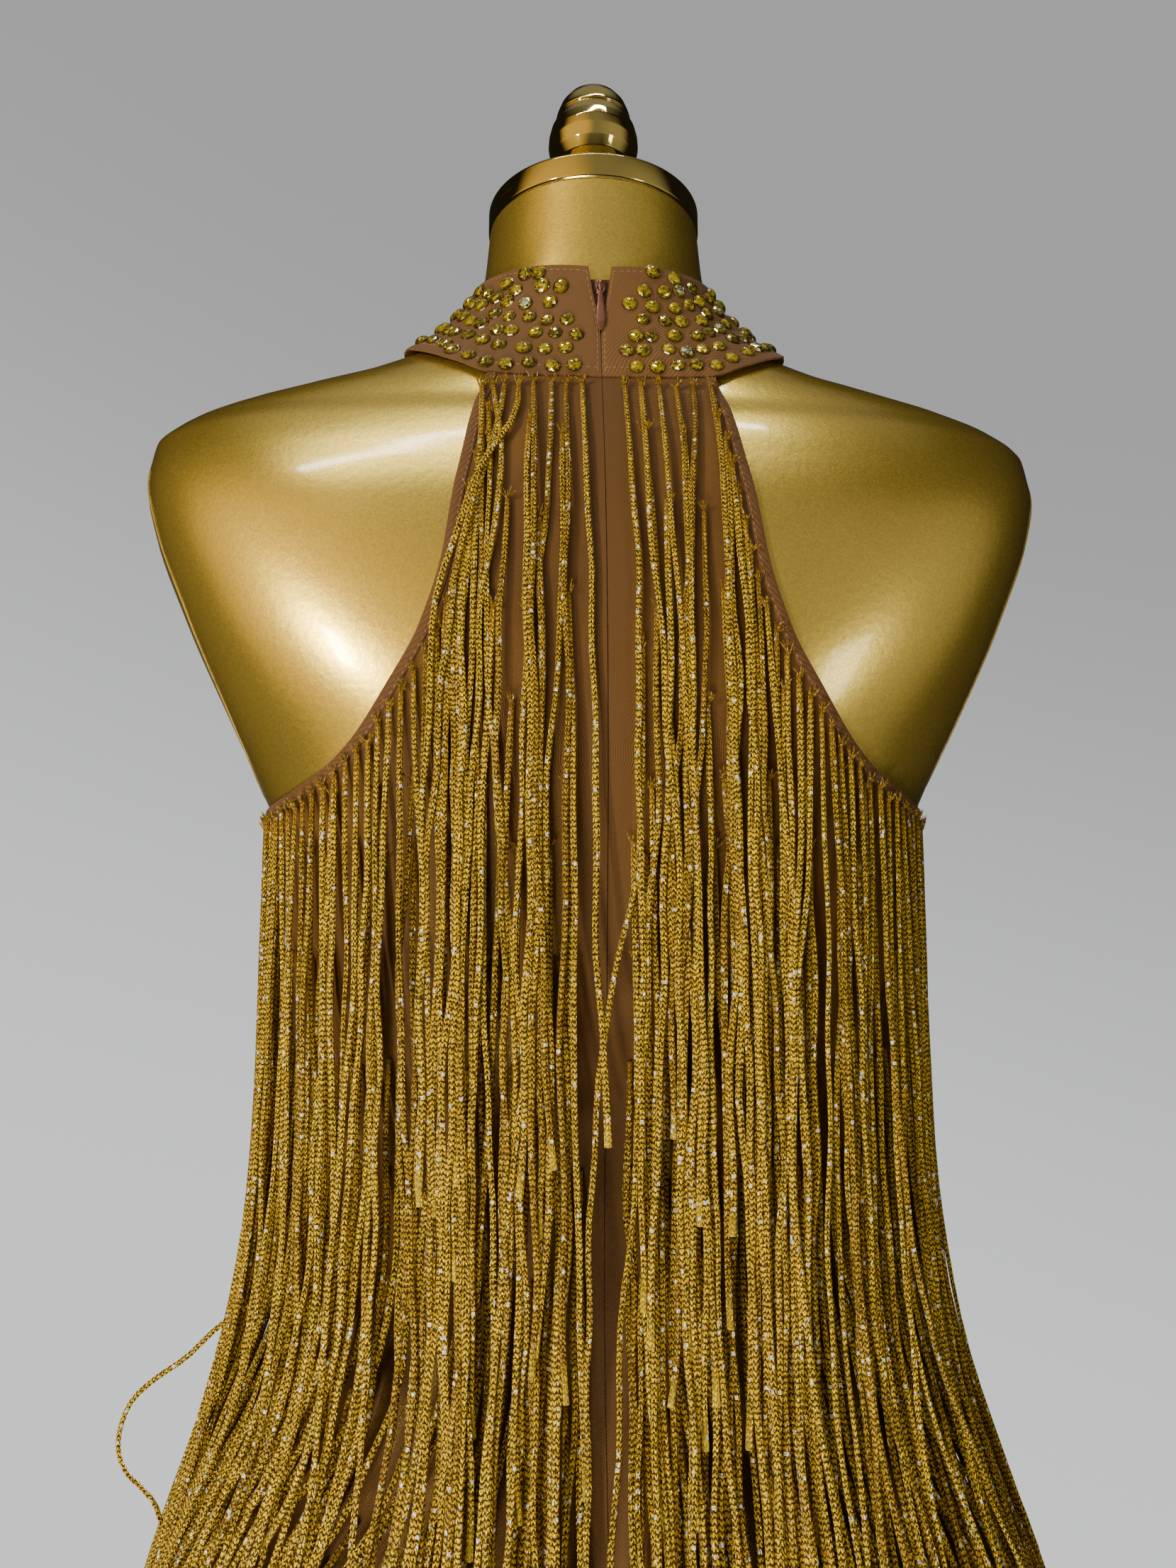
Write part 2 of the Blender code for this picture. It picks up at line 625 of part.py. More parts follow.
def make_fringe(name, roots, width):
    """A row of strands whose roots are fused into one narrow tape. A root is (angle, height, has a strand)."""
    shape = bmesh.new()
    columns = []
    for angle, height, has_strand in roots:
        place, outward = pushed_clear(body_point(angle, height), CLOTH_FACE)
        if not has_strand:
            columns.append((tape_column(shape, place, outward), False))
            continue
        along = UP.cross(outward) * (0.5 * width)
        left = tape_column(shape, place - along, outward)
        right = tape_column(shape, place + along, outward)
        columns.extend(((left, True), (right, False)))
        hang_strand(shape, left, right, fall(place, outward, FRINGE_LENGTH), width)
    for (a, over_strand), (b, _) in zip(columns, columns[1:]):
        shape.faces.new((a[1], b[1], b[2], a[2]))
        shape.faces.new((a[2], b[2], b[0], a[0]))
        if not over_strand:
            shape.faces.new((a[0], b[0], b[1], a[1]))
    shape.faces.new(columns[0][0])
    shape.faces.new(columns[-1][0])
    return new_piece(name, shape, "gold_chainette")


def even_angles(height, start, end, count):
    """Angles spaced evenly along the form's outline at a height."""
    steps = 360
    angles = [start + (end - start) * i / steps for i in range(steps + 1)]
    places = [body_point(a, height) for a in angles]
    lengths = [0.0]
    for a, b in zip(places, places[1:]):
        lengths.append(lengths[-1] + (b - a).length)
    picked = []
    for i in range(count):
        target = lengths[-1] * i / (count - 1)
        j = min(max(bisect_right(lengths, target) - 1, 0), steps - 1)
        share = (target - lengths[j]) / (lengths[j + 1] - lengths[j])
        picked.append(angles[j] + (angles[j + 1] - angles[j]) * share)
    return picked


def armhole_roots(from_front):
    """Roots just inside the armhole's edge, at an even pitch across the body, with bare tape between them."""
    edge_rows = PANEL_ROWS[ARMHOLE_ROW:]
    last = len(edge_rows) - 1
    edge_height = smooth_through([(i, row.edge_height) for i, row in enumerate(edge_rows)])
    edge_angle = smooth_through([(i, row.edge_angle) for i, row in enumerate(edge_rows)])

    def place(step):
        inset = edge_angle(step) - ARMHOLE_INSET_ANGLE
        return (180 - inset if from_front else inset), edge_height(step) - ARMHOLE_INSET_HEIGHT

    steps = []
    step = last - ARMHOLE_START
    for lock in range(ARMHOLE_LOCKS):
        while step > 0 and abs(body_point(*place(step)).x) < ARMHOLE_FIRST + ARMHOLE_PITCH * lock:
            step -= 0.01
        steps.append(step)
    roots = [(*place(steps[0]), True)]
    for a, b in zip(steps, steps[1:]):
        roots.extend((*place(a + (b - a) * share), share == 1) for share in (1 / 3, 2 / 3, 1))
    return sorted(roots)


def mirrored(roots):
    """The same roots on the wearer's other side."""
    return sorted((-angle, height, has_strand) for angle, height, has_strand in roots)


def collar_roots(height, depth, first, pitch, count):
    """Roots below one half of the collar, at an even pitch from the centre."""
    return [(math.degrees(math.atan((first + pitch * i) / depth)), height, True) for i in range(count)]


def make_fringes():
    """Every row of fringe: round the body, below the collar and along the armholes."""
    for i, height in enumerate(ROW_HEIGHTS):
        angles = even_angles(height, ROW_OPENING, 360 - ROW_OPENING, ROW_LOCKS)
        make_fringe(f"fringe_row_{i + 1}", [(angle, height, True) for angle in angles], ROW_LOCK_WIDTH)

    depth = back_depth_at(COLLAR_ROW_HEIGHT)
    half = collar_roots(COLLAR_ROW_HEIGHT, depth, COLLAR_STRAND_FIRST, COLLAR_STRAND_PITCH, COLLAR_STRANDS)
    make_fringe("fringe_collar_right", half, COLLAR_STRAND_WIDTH)
    make_fringe("fringe_collar_left", mirrored(half), COLLAR_STRAND_WIDTH)

    depth = front_depth_at(FRONT_ROW_HEIGHT)
    half = collar_roots(FRONT_ROW_HEIGHT, depth, FRONT_STRAND_FIRST, FRONT_STRAND_PITCH, FRONT_STRANDS)
    front = [(180 + angle, height, has_strand) for angle, height, has_strand in mirrored(half) + half]
    make_fringe("fringe_collar_front", front, STRAND_WIDTH)

    for place, from_front in (("back", False), ("front", True)):
        roots = armhole_roots(from_front)
        make_fringe(f"fringe_armhole_{place}_right", roots, STRAND_WIDTH)
        make_fringe(f"fringe_armhole_{place}_left", mirrored(roots), STRAND_WIDTH)


def main():
    for item in list(bpy.context.scene.objects):
        bpy.data.objects.remove(item, do_unlink=True)
    make_form()
    make_stand()
    make_back_panel("back_panel_right", 1)
    make_back_panel("back_panel_left", -1)
    make_front_panel()
    make_collar()
    make_zip_tape()
    make_slider()
    make_pull()
    make_fringes()


if __name__ == "__main__":
    main()
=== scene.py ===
"""Tassel dress: a halter dress of brown stretch mesh and gold chainette fringe, on its dress form.

Metres, +Z up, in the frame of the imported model. The back of the garment faces -Y and the wearer's right is
+X. Angles go round the body in degrees: 0 at the centre back, 90 at the wearer's right, 180 in front.
"""

import json
import math
from collections import namedtuple

import bpy
import numpy as np
from bpy.props import FloatProperty, FloatVectorProperty, PointerProperty
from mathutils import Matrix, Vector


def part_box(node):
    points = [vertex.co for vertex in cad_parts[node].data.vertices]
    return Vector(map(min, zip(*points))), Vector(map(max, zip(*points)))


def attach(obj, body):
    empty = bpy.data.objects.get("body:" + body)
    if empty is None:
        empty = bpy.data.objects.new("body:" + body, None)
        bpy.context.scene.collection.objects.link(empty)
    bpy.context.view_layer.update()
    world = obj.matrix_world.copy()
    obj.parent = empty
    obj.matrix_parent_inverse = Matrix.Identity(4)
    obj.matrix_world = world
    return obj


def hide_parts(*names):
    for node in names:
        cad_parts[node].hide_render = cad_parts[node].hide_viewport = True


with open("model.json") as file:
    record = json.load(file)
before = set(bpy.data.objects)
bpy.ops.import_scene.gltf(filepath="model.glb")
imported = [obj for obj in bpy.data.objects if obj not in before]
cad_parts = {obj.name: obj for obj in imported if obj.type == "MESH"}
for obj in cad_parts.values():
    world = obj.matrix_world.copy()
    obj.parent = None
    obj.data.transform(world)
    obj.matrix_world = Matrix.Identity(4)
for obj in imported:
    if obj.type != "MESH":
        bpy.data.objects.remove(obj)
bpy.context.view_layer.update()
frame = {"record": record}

bl_info = {
    "name": "Tassel Dress",
    "version": (1, 0, 0),
    "blender": (4, 5, 0),
    "location": "3D View > Sidebar > Tassel Dress",
    "description": "Builds a halter dress of stretch mesh and gold chainette fringe on its dress form",
    "category": "Object",
}

MM = 0.001
DRESS = "dress_on_form"
PULL = "zip_pull"

# Dress form: sections of the body, from the hips up. Squareness is the power of the outline's curve.
BodySection = namedtuple("BodySection", "height half_width back_depth front_depth squareness")
BODY_SECTIONS = (
    BodySection(0.720, 0.158, 0.096, 0.086, 2.3),
    BodySection(0.780, 0.167, 0.108, 0.090, 2.3),
    BodySection(0.850, 0.172, 0.116, 0.094, 2.3),
    BodySection(0.900, 0.166, 0.113, 0.096, 2.3),
    BodySection(0.950, 0.150, 0.096, 0.096, 2.3),
    BodySection(1.000, 0.129, 0.079, 0.092, 2.2),
    BodySection(1.035, 0.120, 0.073, 0.088, 2.2),
    BodySection(1.080, 0.122, 0.078, 0.092, 2.2),
    BodySection(1.130, 0.129, 0.089, 0.104, 2.3),
    BodySection(1.175, 0.134, 0.097, 0.122, 2.4),
    BodySection(1.205, 0.138, 0.101, 0.123, 2.3),
    BodySection(1.228, 0.1475, 0.103, 0.1175, 2.35),
    BodySection(1.260, 0.162, 0.103, 0.106, 2.7),
    BodySection(1.300, 0.180, 0.099, 0.088, 3.1),
    BodySection(1.340, 0.196, 0.091, 0.070, 3.2),
    BodySection(1.368, 0.2025, 0.081, 0.058, 3.0),
    BodySection(1.384, 0.2025, 0.074, 0.053, 2.7),
    BodySection(1.395, 0.195, 0.068, 0.050, 2.4),
    BodySection(1.404, 0.181, 0.065, 0.048, 2.1),
    BodySection(1.412, 0.159, 0.0625, 0.047, 1.9),
    BodySection(1.421, 0.126, 0.060, 0.047, 1.8),
    BodySection(1.432, 0.094, 0.0575, 0.047, 1.8),
    BodySection(1.445, 0.073, 0.055, 0.047, 1.9),
    BodySection(1.458, 0.060, 0.0535, 0.048, 2.0),
    BodySection(1.476, 0.0535, 0.052, 0.0505, 2.0),
    BodySection(1.504, 0.0505, 0.0505, 0.0505, 2.0),
)
BODY_COLUMNS = 128
BODY_RING_STEP = 6 * MM
SHOULDER_HEIGHTS = (1.36, 1.46)
SHOULDER_RINGS = 60
# The seam of the plate that closes each arm: an oval seen from the side.
ARM_SEAM_MIDDLE = (-0.006, 1.305)
ARM_SEAM_REACH = (0.041, 0.079)
ARM_SEAM_WIDTH = 1.5 * MM
ARM_SEAM_THICKNESS = 0.8 * MM

# Cap, finial and stand: turned profiles, as radius and height from the bottom up, and how they are turned.
Turning = namedtuple("Turning", "name solid sides corner profile")
TURNINGS = (
    Turning("neck_cap_ring", "neck_cap", 128, 0.6 * MM, (
        (0, 1.5043), (0.0500, 1.5043), (0.0512, 1.5056), (0.0512, 1.5157), (0.0500, 1.5170), (0, 1.5170),
    )),
    Turning("finial_turned", "finial", 96, 0.5 * MM, (
        (0, 1.5173), (0.0215, 1.5173), (0.0217, 1.5192), (0.0208, 1.5212), (0.0212, 1.5222),
        (0.0198, 1.5244), (0.0150, 1.5282), (0.0128, 1.5315), (0.0125, 1.5340), (0.0134, 1.5365),
        (0.0130, 1.5378), (0.0158, 1.5400), (0.0188, 1.5432), (0.0212, 1.5478), (0.0222, 1.5535),
        (0.0219, 1.5580), (0.0207, 1.5628), (0.0184, 1.5672), (0.0178, 1.5680), (0.0185, 1.5687),
        (0.0178, 1.5712), (0.0160, 1.5756), (0.0128, 1.5796), (0.0086, 1.5824), (0.0044, 1.5836), (0, 1.5840),
    )),
    Turning("flange_turned", "pole_flange", 96, 1.5 * MM, (
        (0, 0.7003), (0.024, 0.7003), (0.033, 0.7030), (0.045, 0.7120), (0.045, 0.7197), (0, 0.7197),
    )),
    Turning("pole_tube", "pole", 64, 0.6 * MM, ((0, 0.0753), (0.016, 0.0753), (0.016, 0.7000), (0, 0.7000))),
    Turning("socket_turned", "base_socket", 96, 1.5 * MM, (
        (0, 0.0223), (0.034, 0.0223), (0.034, 0.0300), (0.023, 0.0400), (0.021, 0.0750), (0, 0.0750),
    )),
    Turning("base_turned", "base_plate", 160, 2.0 * MM, (
        (0, 0), (0.187, 0), (0.190, 0.004), (0.190, 0.010), (0.186, 0.014), (0.060, 0.022), (0, 0.022),
    )),
)

# Angles in degrees past which two faces meet in a sharp edge, on hard pieces and on cloth.
CORNER_ANGLE = 50
CLOTH_CORNER_ANGLE = 60

# Cloth: distance of each inner face from the form, and the half width of what lies at the centre back.
PANEL_OFFSET = 2.25 * MM
COLLAR_OFFSET = 2.25 * MM
CLOTH_FACE = 3.6 * MM
TAPE_OFFSET = 0.9 * MM
TAPE_THICKNESS = 0.6 * MM
TAPE_HALF_WIDTH = 12 * MM
TAPE_BOTTOM = 0.9
TAPE_TOP = 1.4525
SEAM_GAP = 0.3 * MM
SIDE_HALF_GAP = 0.06
CENTRE_HALF_GAP = 0.10
PANEL_RING_STEP = 5.5 * MM
PANEL_COLUMNS = 40
HEM_HEIGHT = 18 * MM
HEM_THICKNESS = 0.3 * MM
HEM_GAP = 0.05 * MM

# Panel rows, from the hem up the side seam and round the armhole to the collar. The edge's angle is from the
# panel's centre line.
PanelRow = namedtuple("PanelRow", "centre_height edge_height edge_angle")
PANEL_ROWS = (
    PanelRow(0.745, 0.745, 90),
    PanelRow(1.000, 1.000, 90),
    PanelRow(1.175, 1.175, 90),
    PanelRow(1.203, 1.200, 90),
    PanelRow(1.214, 1.210, 90),
    PanelRow(1.226, 1.2180, 90),
    PanelRow(1.240, 1.2190, 78),
    PanelRow(1.256, 1.2215, 67),
    PanelRow(1.272, 1.2285, 56),
    PanelRow(1.288, 1.2400, 48),
    PanelRow(1.305, 1.2590, 41),
    PanelRow(1.324, 1.2850, 35.2),
    PanelRow(1.344, 1.3180, 32.8),
    PanelRow(1.364, 1.3500, 33.2),
    PanelRow(1.381, 1.3760, 34.6),
    PanelRow(1.3915, 1.3900, 35.6),
    PanelRow(1.410, 1.4100, 36.8),
)
ARMHOLE_BOTTOM = 1.226
ARMHOLE_TOP = 1.410
ARMHOLE_POINTS = 150
ARMHOLE_LINE_DROP = 8 * MM

# Folds: ridges in the cloth, each between two places of the body. The long ones drag in from under the arms.
DragFold = namedtuple("DragFold", "from_angle from_height to_angle to_height half_width ridge")
DRAG_FOLDS = (
    DragFold(82, 1.190, 34, 1.095, 10 * MM, 1.4 * MM),
    DragFold(84, 1.135, 40, 1.050, 11 * MM, 1.5 * MM),
    DragFold(58, 1.225, 22, 1.150, 10 * MM, 1.2 * MM),
    DragFold(98, 1.150, 142, 1.075, 11 * MM, 1.4 * MM),
    DragFold(76, 1.085, 48, 1.030, 7 * MM, 0.9 * MM),
    DragFold(70, 1.020, 30, 1.004, 6 * MM, 0.8 * MM),
    DragFold(112, 1.120, 150, 1.050, 7 * MM, 0.8 * MM),
    DragFold(104, 1.030, 158, 1.010, 6 * MM, 0.8 * MM),
    DragFold(66, 0.960, 24, 0.930, 9 * MM, 0.7 * MM),
    DragFold(44, 1.255, 26, 1.215, 6 * MM, 0.6 * MM),
)
FOLD_END = 0.08
FOLD_FADE = 0.6

# Binding: its layer on each face of the mesh, and how far its stitches stand up and lie in.
BINDING_LAYER = 0.45 * MM
BINDING_RISE = 0.42 * MM
BINDING_SEAM_SHARE = 0.68
# Section of the binding: shares of its width, from the edge inward, and of its half thickness.
BINDING_SECTION = (
    (-0.5, 0.0), (-0.2, 0.9), (0.4, 1.0), (0.88, 1.0), (1.0, 0.6), (1.0, -0.6), (0.4, -0.9), (-0.2, -0.8),
)
# Half width of the strip beside the zip where the mesh lies double.
PLACKET_HALF_WIDTH = 8.8 * MM

# Collar: heights of its edges against the angle, and the half width of its notch against the height.
COLLAR_BOTTOM = (
    (0, 1.4000), (20, 1.4005), (36, 1.4020), (46, 1.4090), (60, 1.4200), (75, 1.4305), (90, 1.4350),
    (110, 1.4310), (130, 1.4160), (150, 1.3990), (180, 1.3920),
)
COLLAR_TOP = ((0, 1.4570), (45, 1.4625), (90, 1.4680), (135, 1.4570), (180, 1.4460))
NOTCH = ((1.400, 0.15 * MM), (1.420, 0.15 * MM), (1.433, 1.2 * MM), (1.443, 3.0 * MM), (1.4575, 4.9 * MM))
COLLAR_COLUMNS = 220
COLLAR_RINGS = 26
# Lengths of the collar up and round it, from which its edges' roll is reckoned.
COLLAR_HEIGHT = 50 * MM
COLLAR_LENGTH = 430 * MM
EDGE_ROLL_WIDTH = 1.1 * MM
EDGE_ROLL = 0.35 * MM
COLLAR_RIPPLE = 0.22 * MM

# Zip slider and pull tab, about the tab's cross bar. The outline is distance below the bar and half width.
PIVOT = tuple(frame["record"]["behaviour"]["joints"][0]["pos_m"])
PULL_LENGTH = 21.5 * MM
PULL_OUTLINE = (
    (3.0 * MM, 0.95 * MM), (4.2 * MM, 1.05 * MM), (7.0 * MM, 1.25 * MM), (10.5 * MM, 1.60 * MM),
    (14.5 * MM, 2.05 * MM), (18.0 * MM, 2.25 * MM), (20.8 * MM, 1.85 * MM), (22.8 * MM, 1.1 * MM),
    (23.8 * MM, 0.4 * MM),
)
PULL_HALF_THICKNESS = 0.55 * MM
# Share of its thickness that the tab has, against the distance below the bar.
PULL_FULLNESS = ((3.0 * MM, 1.0), (9.0 * MM, 0.72), (20.0 * MM, 1.0), (23.8 * MM, 0.45))
PULL_REST_GAP = 0.45 * MM
RING_HALF_WIDTH = 1.75 * MM
RING_HALF_HEIGHT = 1.9 * MM
RING_THICKNESS = 0.75 * MM
SLIDER_HALF_LENGTH = 3.4 * MM
SLIDER_WIDTH = 4.8 * MM
SLIDER_THICKNESS = 1.5 * MM
SLIDER_DEPTH = 1.65 * MM
# Share of its width that the slider has, against the share of the way down it.
SLIDER_FLARE = ((0, 0.55), (0.12, 0.92), (0.4, 1.0), (0.75, 0.78), (0.93, 0.66), (1, 0.4))
BRIDGE_FOOT_DEPTH = 1.15 * MM
BRIDGE_RISE = 2.25 * MM
BRIDGE_HALF_LENGTH = 2.5 * MM
BRIDGE_WIDTH = 1.8 * MM
BRIDGE_THICKNESS = 0.75 * MM
BACKWARD = (0.0, -1.0, 0.0)
# Coil: where it starts, and how far each point of a tooth lies aside and out.
COIL_BOTTOM = 1.30
COIL_PITCH = 0.75 * MM
TOOTH_REACH = (0.1 * MM, 0.9 * MM, 1.3 * MM, 0.9 * MM)
TOOTH_LIFT = (0.35 * MM, 0.55 * MM, 0.2 * MM, -0.15 * MM)
TOOTH_WIDTH = 0.55 * MM
TOOTH_THICKNESS = 0.5 * MM

# Fringe hangs in rows round the body. The rest hangs from the armholes, the collar and single heads.
FIRST_ROW_HEIGHT = 1.200
BODY_ROWS = 12
ROW_HALF_OPENING = 9 * MM
# Share of the places that hold no strand, for the rows from the top: on the back's left and the rest of the
# back, and in front.
RowGaps = namedtuple("RowGaps", "left right front")
ROW_GAPS = (
    *[RowGaps(0.50, 0.30, 0.15)] * 2, *[RowGaps(0.34, 0.25, 0.15)] * 2, RowGaps(0.60, 0.30, 0.15),
    *[RowGaps(0.64, 0.30, 0.15)] * 2, RowGaps(0.60, 0.30, 0.15), RowGaps(0.40, 0.25, 0.15),
    *[RowGaps(0.25, 0.25, 0.15)] * 3,
)
LOOSE_ROW_HEIGHTS = (1.372, 1.334, 1.296, 1.259, 1.226)
LOOSE_PITCH = 14 * MM
LOOSE_FIRST = 17 * MM
LOOSE_MARGIN = 9 * MM
LOOSE_ALONG = 2.2 * MM
LOOSE_UP = 6 * MM
COLLAR_ROW_HEIGHT = 1.3965
COLLAR_ROOTS_LEFT = (-8.3 * MM, -15.0 * MM, -21.8 * MM, -29.2 * MM)
COLLAR_ROOTS_RIGHT = (9.3 * MM, 15.5 * MM, 24.0 * MM, 31.4 * MM, 38.0 * MM, 46.0 * MM)
FRONT_ROW_HEIGHT = 1.3885
FRONT_STRANDS = 7
FRONT_PITCH = 6.6 * MM
ARMHOLE_INSET = 5.6 * MM
ARMHOLE_ROOTS_DROP = 22 * MM
# Spacing of the armhole's strands along its edge, against their height.
ARMHOLE_SPACING = (
    (1.218, 6.0 * MM), (1.240, 6.8 * MM), (1.275, 9.0 * MM), (1.320, 12.5 * MM), (1.400, 14.0 * MM),
)
STRAND_POINTS = 28
STRAND_SIDES = 5
LAYER_LIFT = 1.7 * MM
# Range of how far strands lie out from the cloth, and the spread of how far their ends do.
STRAND_LIFTS = (0, 2.7 * MM)
END_LIFT = 0.5 * MM
# The least share of the usual length that a strand has, and how much longer one with a frayed head may be.
SHORTEST = 0.92
LONGEST_FRAYED = 0.25
# Spread of the roots' angles round the body in degrees, and of their heights.
ROOT_TURN = 0.35
ROOT_SPREAD = 1.2 * MM
# Left of this place along X, the back's gaps are those of its left.
LEFT_FROM = -0.05
HEAD_LENGTH = 16 * MM
TIP_LENGTH = 9 * MM
TUFT_SPIKES = 7
# How often a strand is drawn tighter across the hollows of the body.
SPAN_STEPS = 22
# Height above a row at which strands from higher up start to move out over it, and have done so.
PASSING_START = 0.050
PASSING_END = 0.018
# The strands over the hips are swept out from the middle. Each row of this table holds for strands rooted
# below a height, on one side of the back: where along X the sweep begins and is full, the least and the
# greatest sine of the slant, and the share of the strands that are swept.
Sweep = namedtuple("Sweep", "side below begins full least greatest share")
SWEEPS = (
    Sweep(-1, 9.000, 0.050, 0.095, 0.20, 0.62, 0.86),
    Sweep(1, 9.000, 0.060, 0.110, 0.05, 0.42, 0.60),
    Sweep(-1, 1.140, 0.022, 0.060, 0.45, 0.90, 0.94),
    Sweep(1, 1.140, 0.040, 0.090, 0.10, 0.60, 0.70),
)
SWEEP_HEIGHT = 1.035
SWEEP_START_SPREAD = 0.024
SWEEP_RAMP = 0.075
# Depth behind the side seams at which the sweep is full, its share in front, and its greatest reach.
SWEEP_DEPTH = 0.055
SWEEP_IN_FRONT = 0.12
SWEEP_MOST = 0.080
# How strands stray: the spread of their drift and kinks, and the ranges of their slow and their quick waves.
STRAND_DRIFT = 6.2 * MM
STRAND_KINK = 0.42 * MM
SLOW_WAVE_HEIGHTS = (0.5 * MM, 2.6 * MM)
SLOW_WAVE_TURNS = (2.0, 9.0)
QUICK_WAVE_HEIGHTS = (0.4 * MM, 1.4 * MM)
QUICK_WAVE_LENGTHS = (44 * MM, 90 * MM)
PHASES = (0, 6.28)
CLUMP_SIZES = (2, 7)

# Strands laid one by one: where each hangs from, its length, and how far it strays at shares of its length.
LaidStrand = namedtuple("LaidStrand", "root_x root_height length strays")
LAID_STRANDS = (
    LaidStrand(-0.0500, 1.3950, 0.325, ((0, 0), (0.10, 0.001), (0.20, -0.004), (0.40, -0.012), (1, -0.016))),
    LaidStrand(-0.0456, 1.3955, 0.318, ((0, 0), (0.08, 0.003), (0.13, 0.004), (0.20, 0.000), (0.34, -0.006),
                                        (1, -0.010))),
    LaidStrand(-0.0405, 1.3960, 0.330, ((0, 0), (0.06, -0.001), (0.12, -0.006), (0.18, -0.010),
                                        (0.26, -0.015), (0.36, -0.019), (1, -0.023))),
    LaidStrand(-0.0349, 1.3962, 0.325, ((0, 0), (0.05, 0.001), (0.12, -0.010), (0.18, -0.017), (0.26, -0.025),
                                        (0.33, -0.031), (1, -0.035))),
    LaidStrand(0.0130, 1.2760, 0.335, ((0, 0), (0.22, -0.001), (0.42, -0.013), (0.6, -0.016), (1, -0.020))),
    LaidStrand(-0.1660, 1.0350, 0.330, ((0, 0), (0.18, -0.012), (0.45, -0.027), (0.7, -0.030), (1, -0.024))),
)
# One strand springs out from the hip in a loop: X and height of its line, and Y at its two ends.
LOOP_LINE = (
    (-0.1400, 1.0200), (-0.1540, 1.0100), (-0.1655, 0.9990), (-0.1780, 0.9905), (-0.1870, 0.9820),
    (-0.1915, 0.9710), (-0.1918, 0.9610), (-0.1880, 0.9530), (-0.1826, 0.9476), (-0.1760, 0.9380),
    (-0.1700, 0.9150),
)
LOOP_DEPTHS = (-0.036, -0.028)

# Stones: rings from the seat to the flat table. Reach and lift are shares of the stone's half width, turn is
# in facets, and depth is the mark of the dark rim.
StoneRing = namedtuple("StoneRing", "reach lift turn depth")
STONE_RINGS = (
    StoneRing(1.00, -0.10, 0.0, 1.0), StoneRing(1.06, 0.02, 0.0, 1.0), StoneRing(1.00, 0.16, 0.0, 0.8),
    StoneRing(0.78, 0.44, 0.5, 0.0), StoneRing(0.50, 0.60, 0.0, 0.0), StoneRing(0.22, 0.655, 0.5, 0.0),
)
STONE_SIDES = 10
STONE_MARGIN = 4.2 * MM
STONE_ROW_RISE = 0.92
STONE_CLEAR_OF_SLIT = 9.5 * MM
# How far a stone may be set off its place, along its row and up.
STONE_ALONG = 1.7 * MM
STONE_UP = 1.3 * MM
STONES_LOST = 0.03
STONES_SPARKING = 0.07
STITCH_LENGTH = 2.1 * MM
STITCH_GAP = 0.9 * MM
STITCH_WIDTH = 0.38 * MM
STITCH_LIFT = 0.02 * MM
STITCH_INSET = 3 * MM
SLIT_STITCH_INSET = 1.8 * MM
# Height of a knitted course as a share of the wales' distance, and loops of the chainette round a strand.
COURSE_SHARE = 0.8
LINKS_ROUND = 4.0
SEED = 1407


# Places on the body


def curve_value(places, values, slopes, at):
    """Values of a curve that has these slopes at its places. Past its ends it stays level."""
    at = np.clip(at, places[0], places[-1])
    i = np.clip(np.searchsorted(places, at, side="right") - 1, 0, len(places) - 2)
    width = places[i + 1] - places[i]
    t = (at - places[i]) / width
    start = (1 + 2 * t) * (1 - t) ** 2 * values[i] + t * (1 - t) ** 2 * width * slopes[i]
    end = t * t * (3 - 2 * t) * values[i + 1] - t * t * (1 - t) * width * slopes[i + 1]
    return start + end


def smooth_through(points):
    """A function that runs smoothly through the (place, value) points and never overshoots them."""
    places, values = np.array(points, float).T
    widths = np.diff(places)
    rises = np.diff(values) / widths
    slopes = np.zeros(len(places))
    slopes[0], slopes[-1] = rises[0], rises[-1]
    for i in range(1, len(rises)):
        if rises[i - 1] * rises[i] > 0:
            near, far = 2 * widths[i] + widths[i - 1], widths[i] + 2 * widths[i - 1]
            slopes[i] = (near + far) / (near / rises[i - 1] + far / rises[i])
    return lambda place: curve_value(places, values, slopes, place)


half_width_at = smooth_through([(s.height, s.half_width) for s in BODY_SECTIONS])
back_depth_at = smooth_through([(s.height, s.back_depth) for s in BODY_SECTIONS])
front_depth_at = smooth_through([(s.height, s.front_depth) for s in BODY_SECTIONS])
squareness_at = smooth_through([(s.height, s.squareness) for s in BODY_SECTIONS])
collar_bottom_at = smooth_through(COLLAR_BOTTOM)
collar_top_at = smooth_through(COLLAR_TOP)
notch_at = smooth_through(NOTCH)
edge_height_at = smooth_through([(r.centre_height, r.edge_height) for r in PANEL_ROWS])
edge_angle_at = smooth_through([(r.centre_height, r.edge_angle) for r in PANEL_ROWS])
pull_half_width_at = smooth_through(PULL_OUTLINE)


def unit(vectors):
    """The vectors at a length of one."""
    return vectors / np.maximum(np.linalg.norm(vectors, axis=-1, keepdims=True), 1e-12)


def turn_from_back(angle):
    """The angle from the centre back, 0 to 180, on either side."""
    return np.abs((np.asarray(angle) + 180) % 360 - 180)


def body_point(angle, height):
    """Places on the form's skin at angles and heights."""
    angle, height = np.broadcast_arrays(np.asarray(angle, float), np.asarray(height, float))
    side, back = np.sin(np.radians(angle)), np.cos(np.radians(angle))
    depth = np.where(back > 0, back_depth_at(height), front_depth_at(height))
    n = squareness_at(height)
    radius = ((np.abs(side) / half_width_at(height)) ** n + (np.abs(back) / depth) ** n) ** (-1 / n)
    return np.stack((radius * side, -radius * back, height), -1)


def body_normal(angle, height):
    """The outward direction square to the form's skin."""
    turn, lift = 0.2, 0.5 * MM
    around = body_point(angle + turn, height) - body_point(angle - turn, height)
    upward = body_point(angle, height + lift) - body_point(angle, height - lift)
    return unit(np.cross(around, upward))


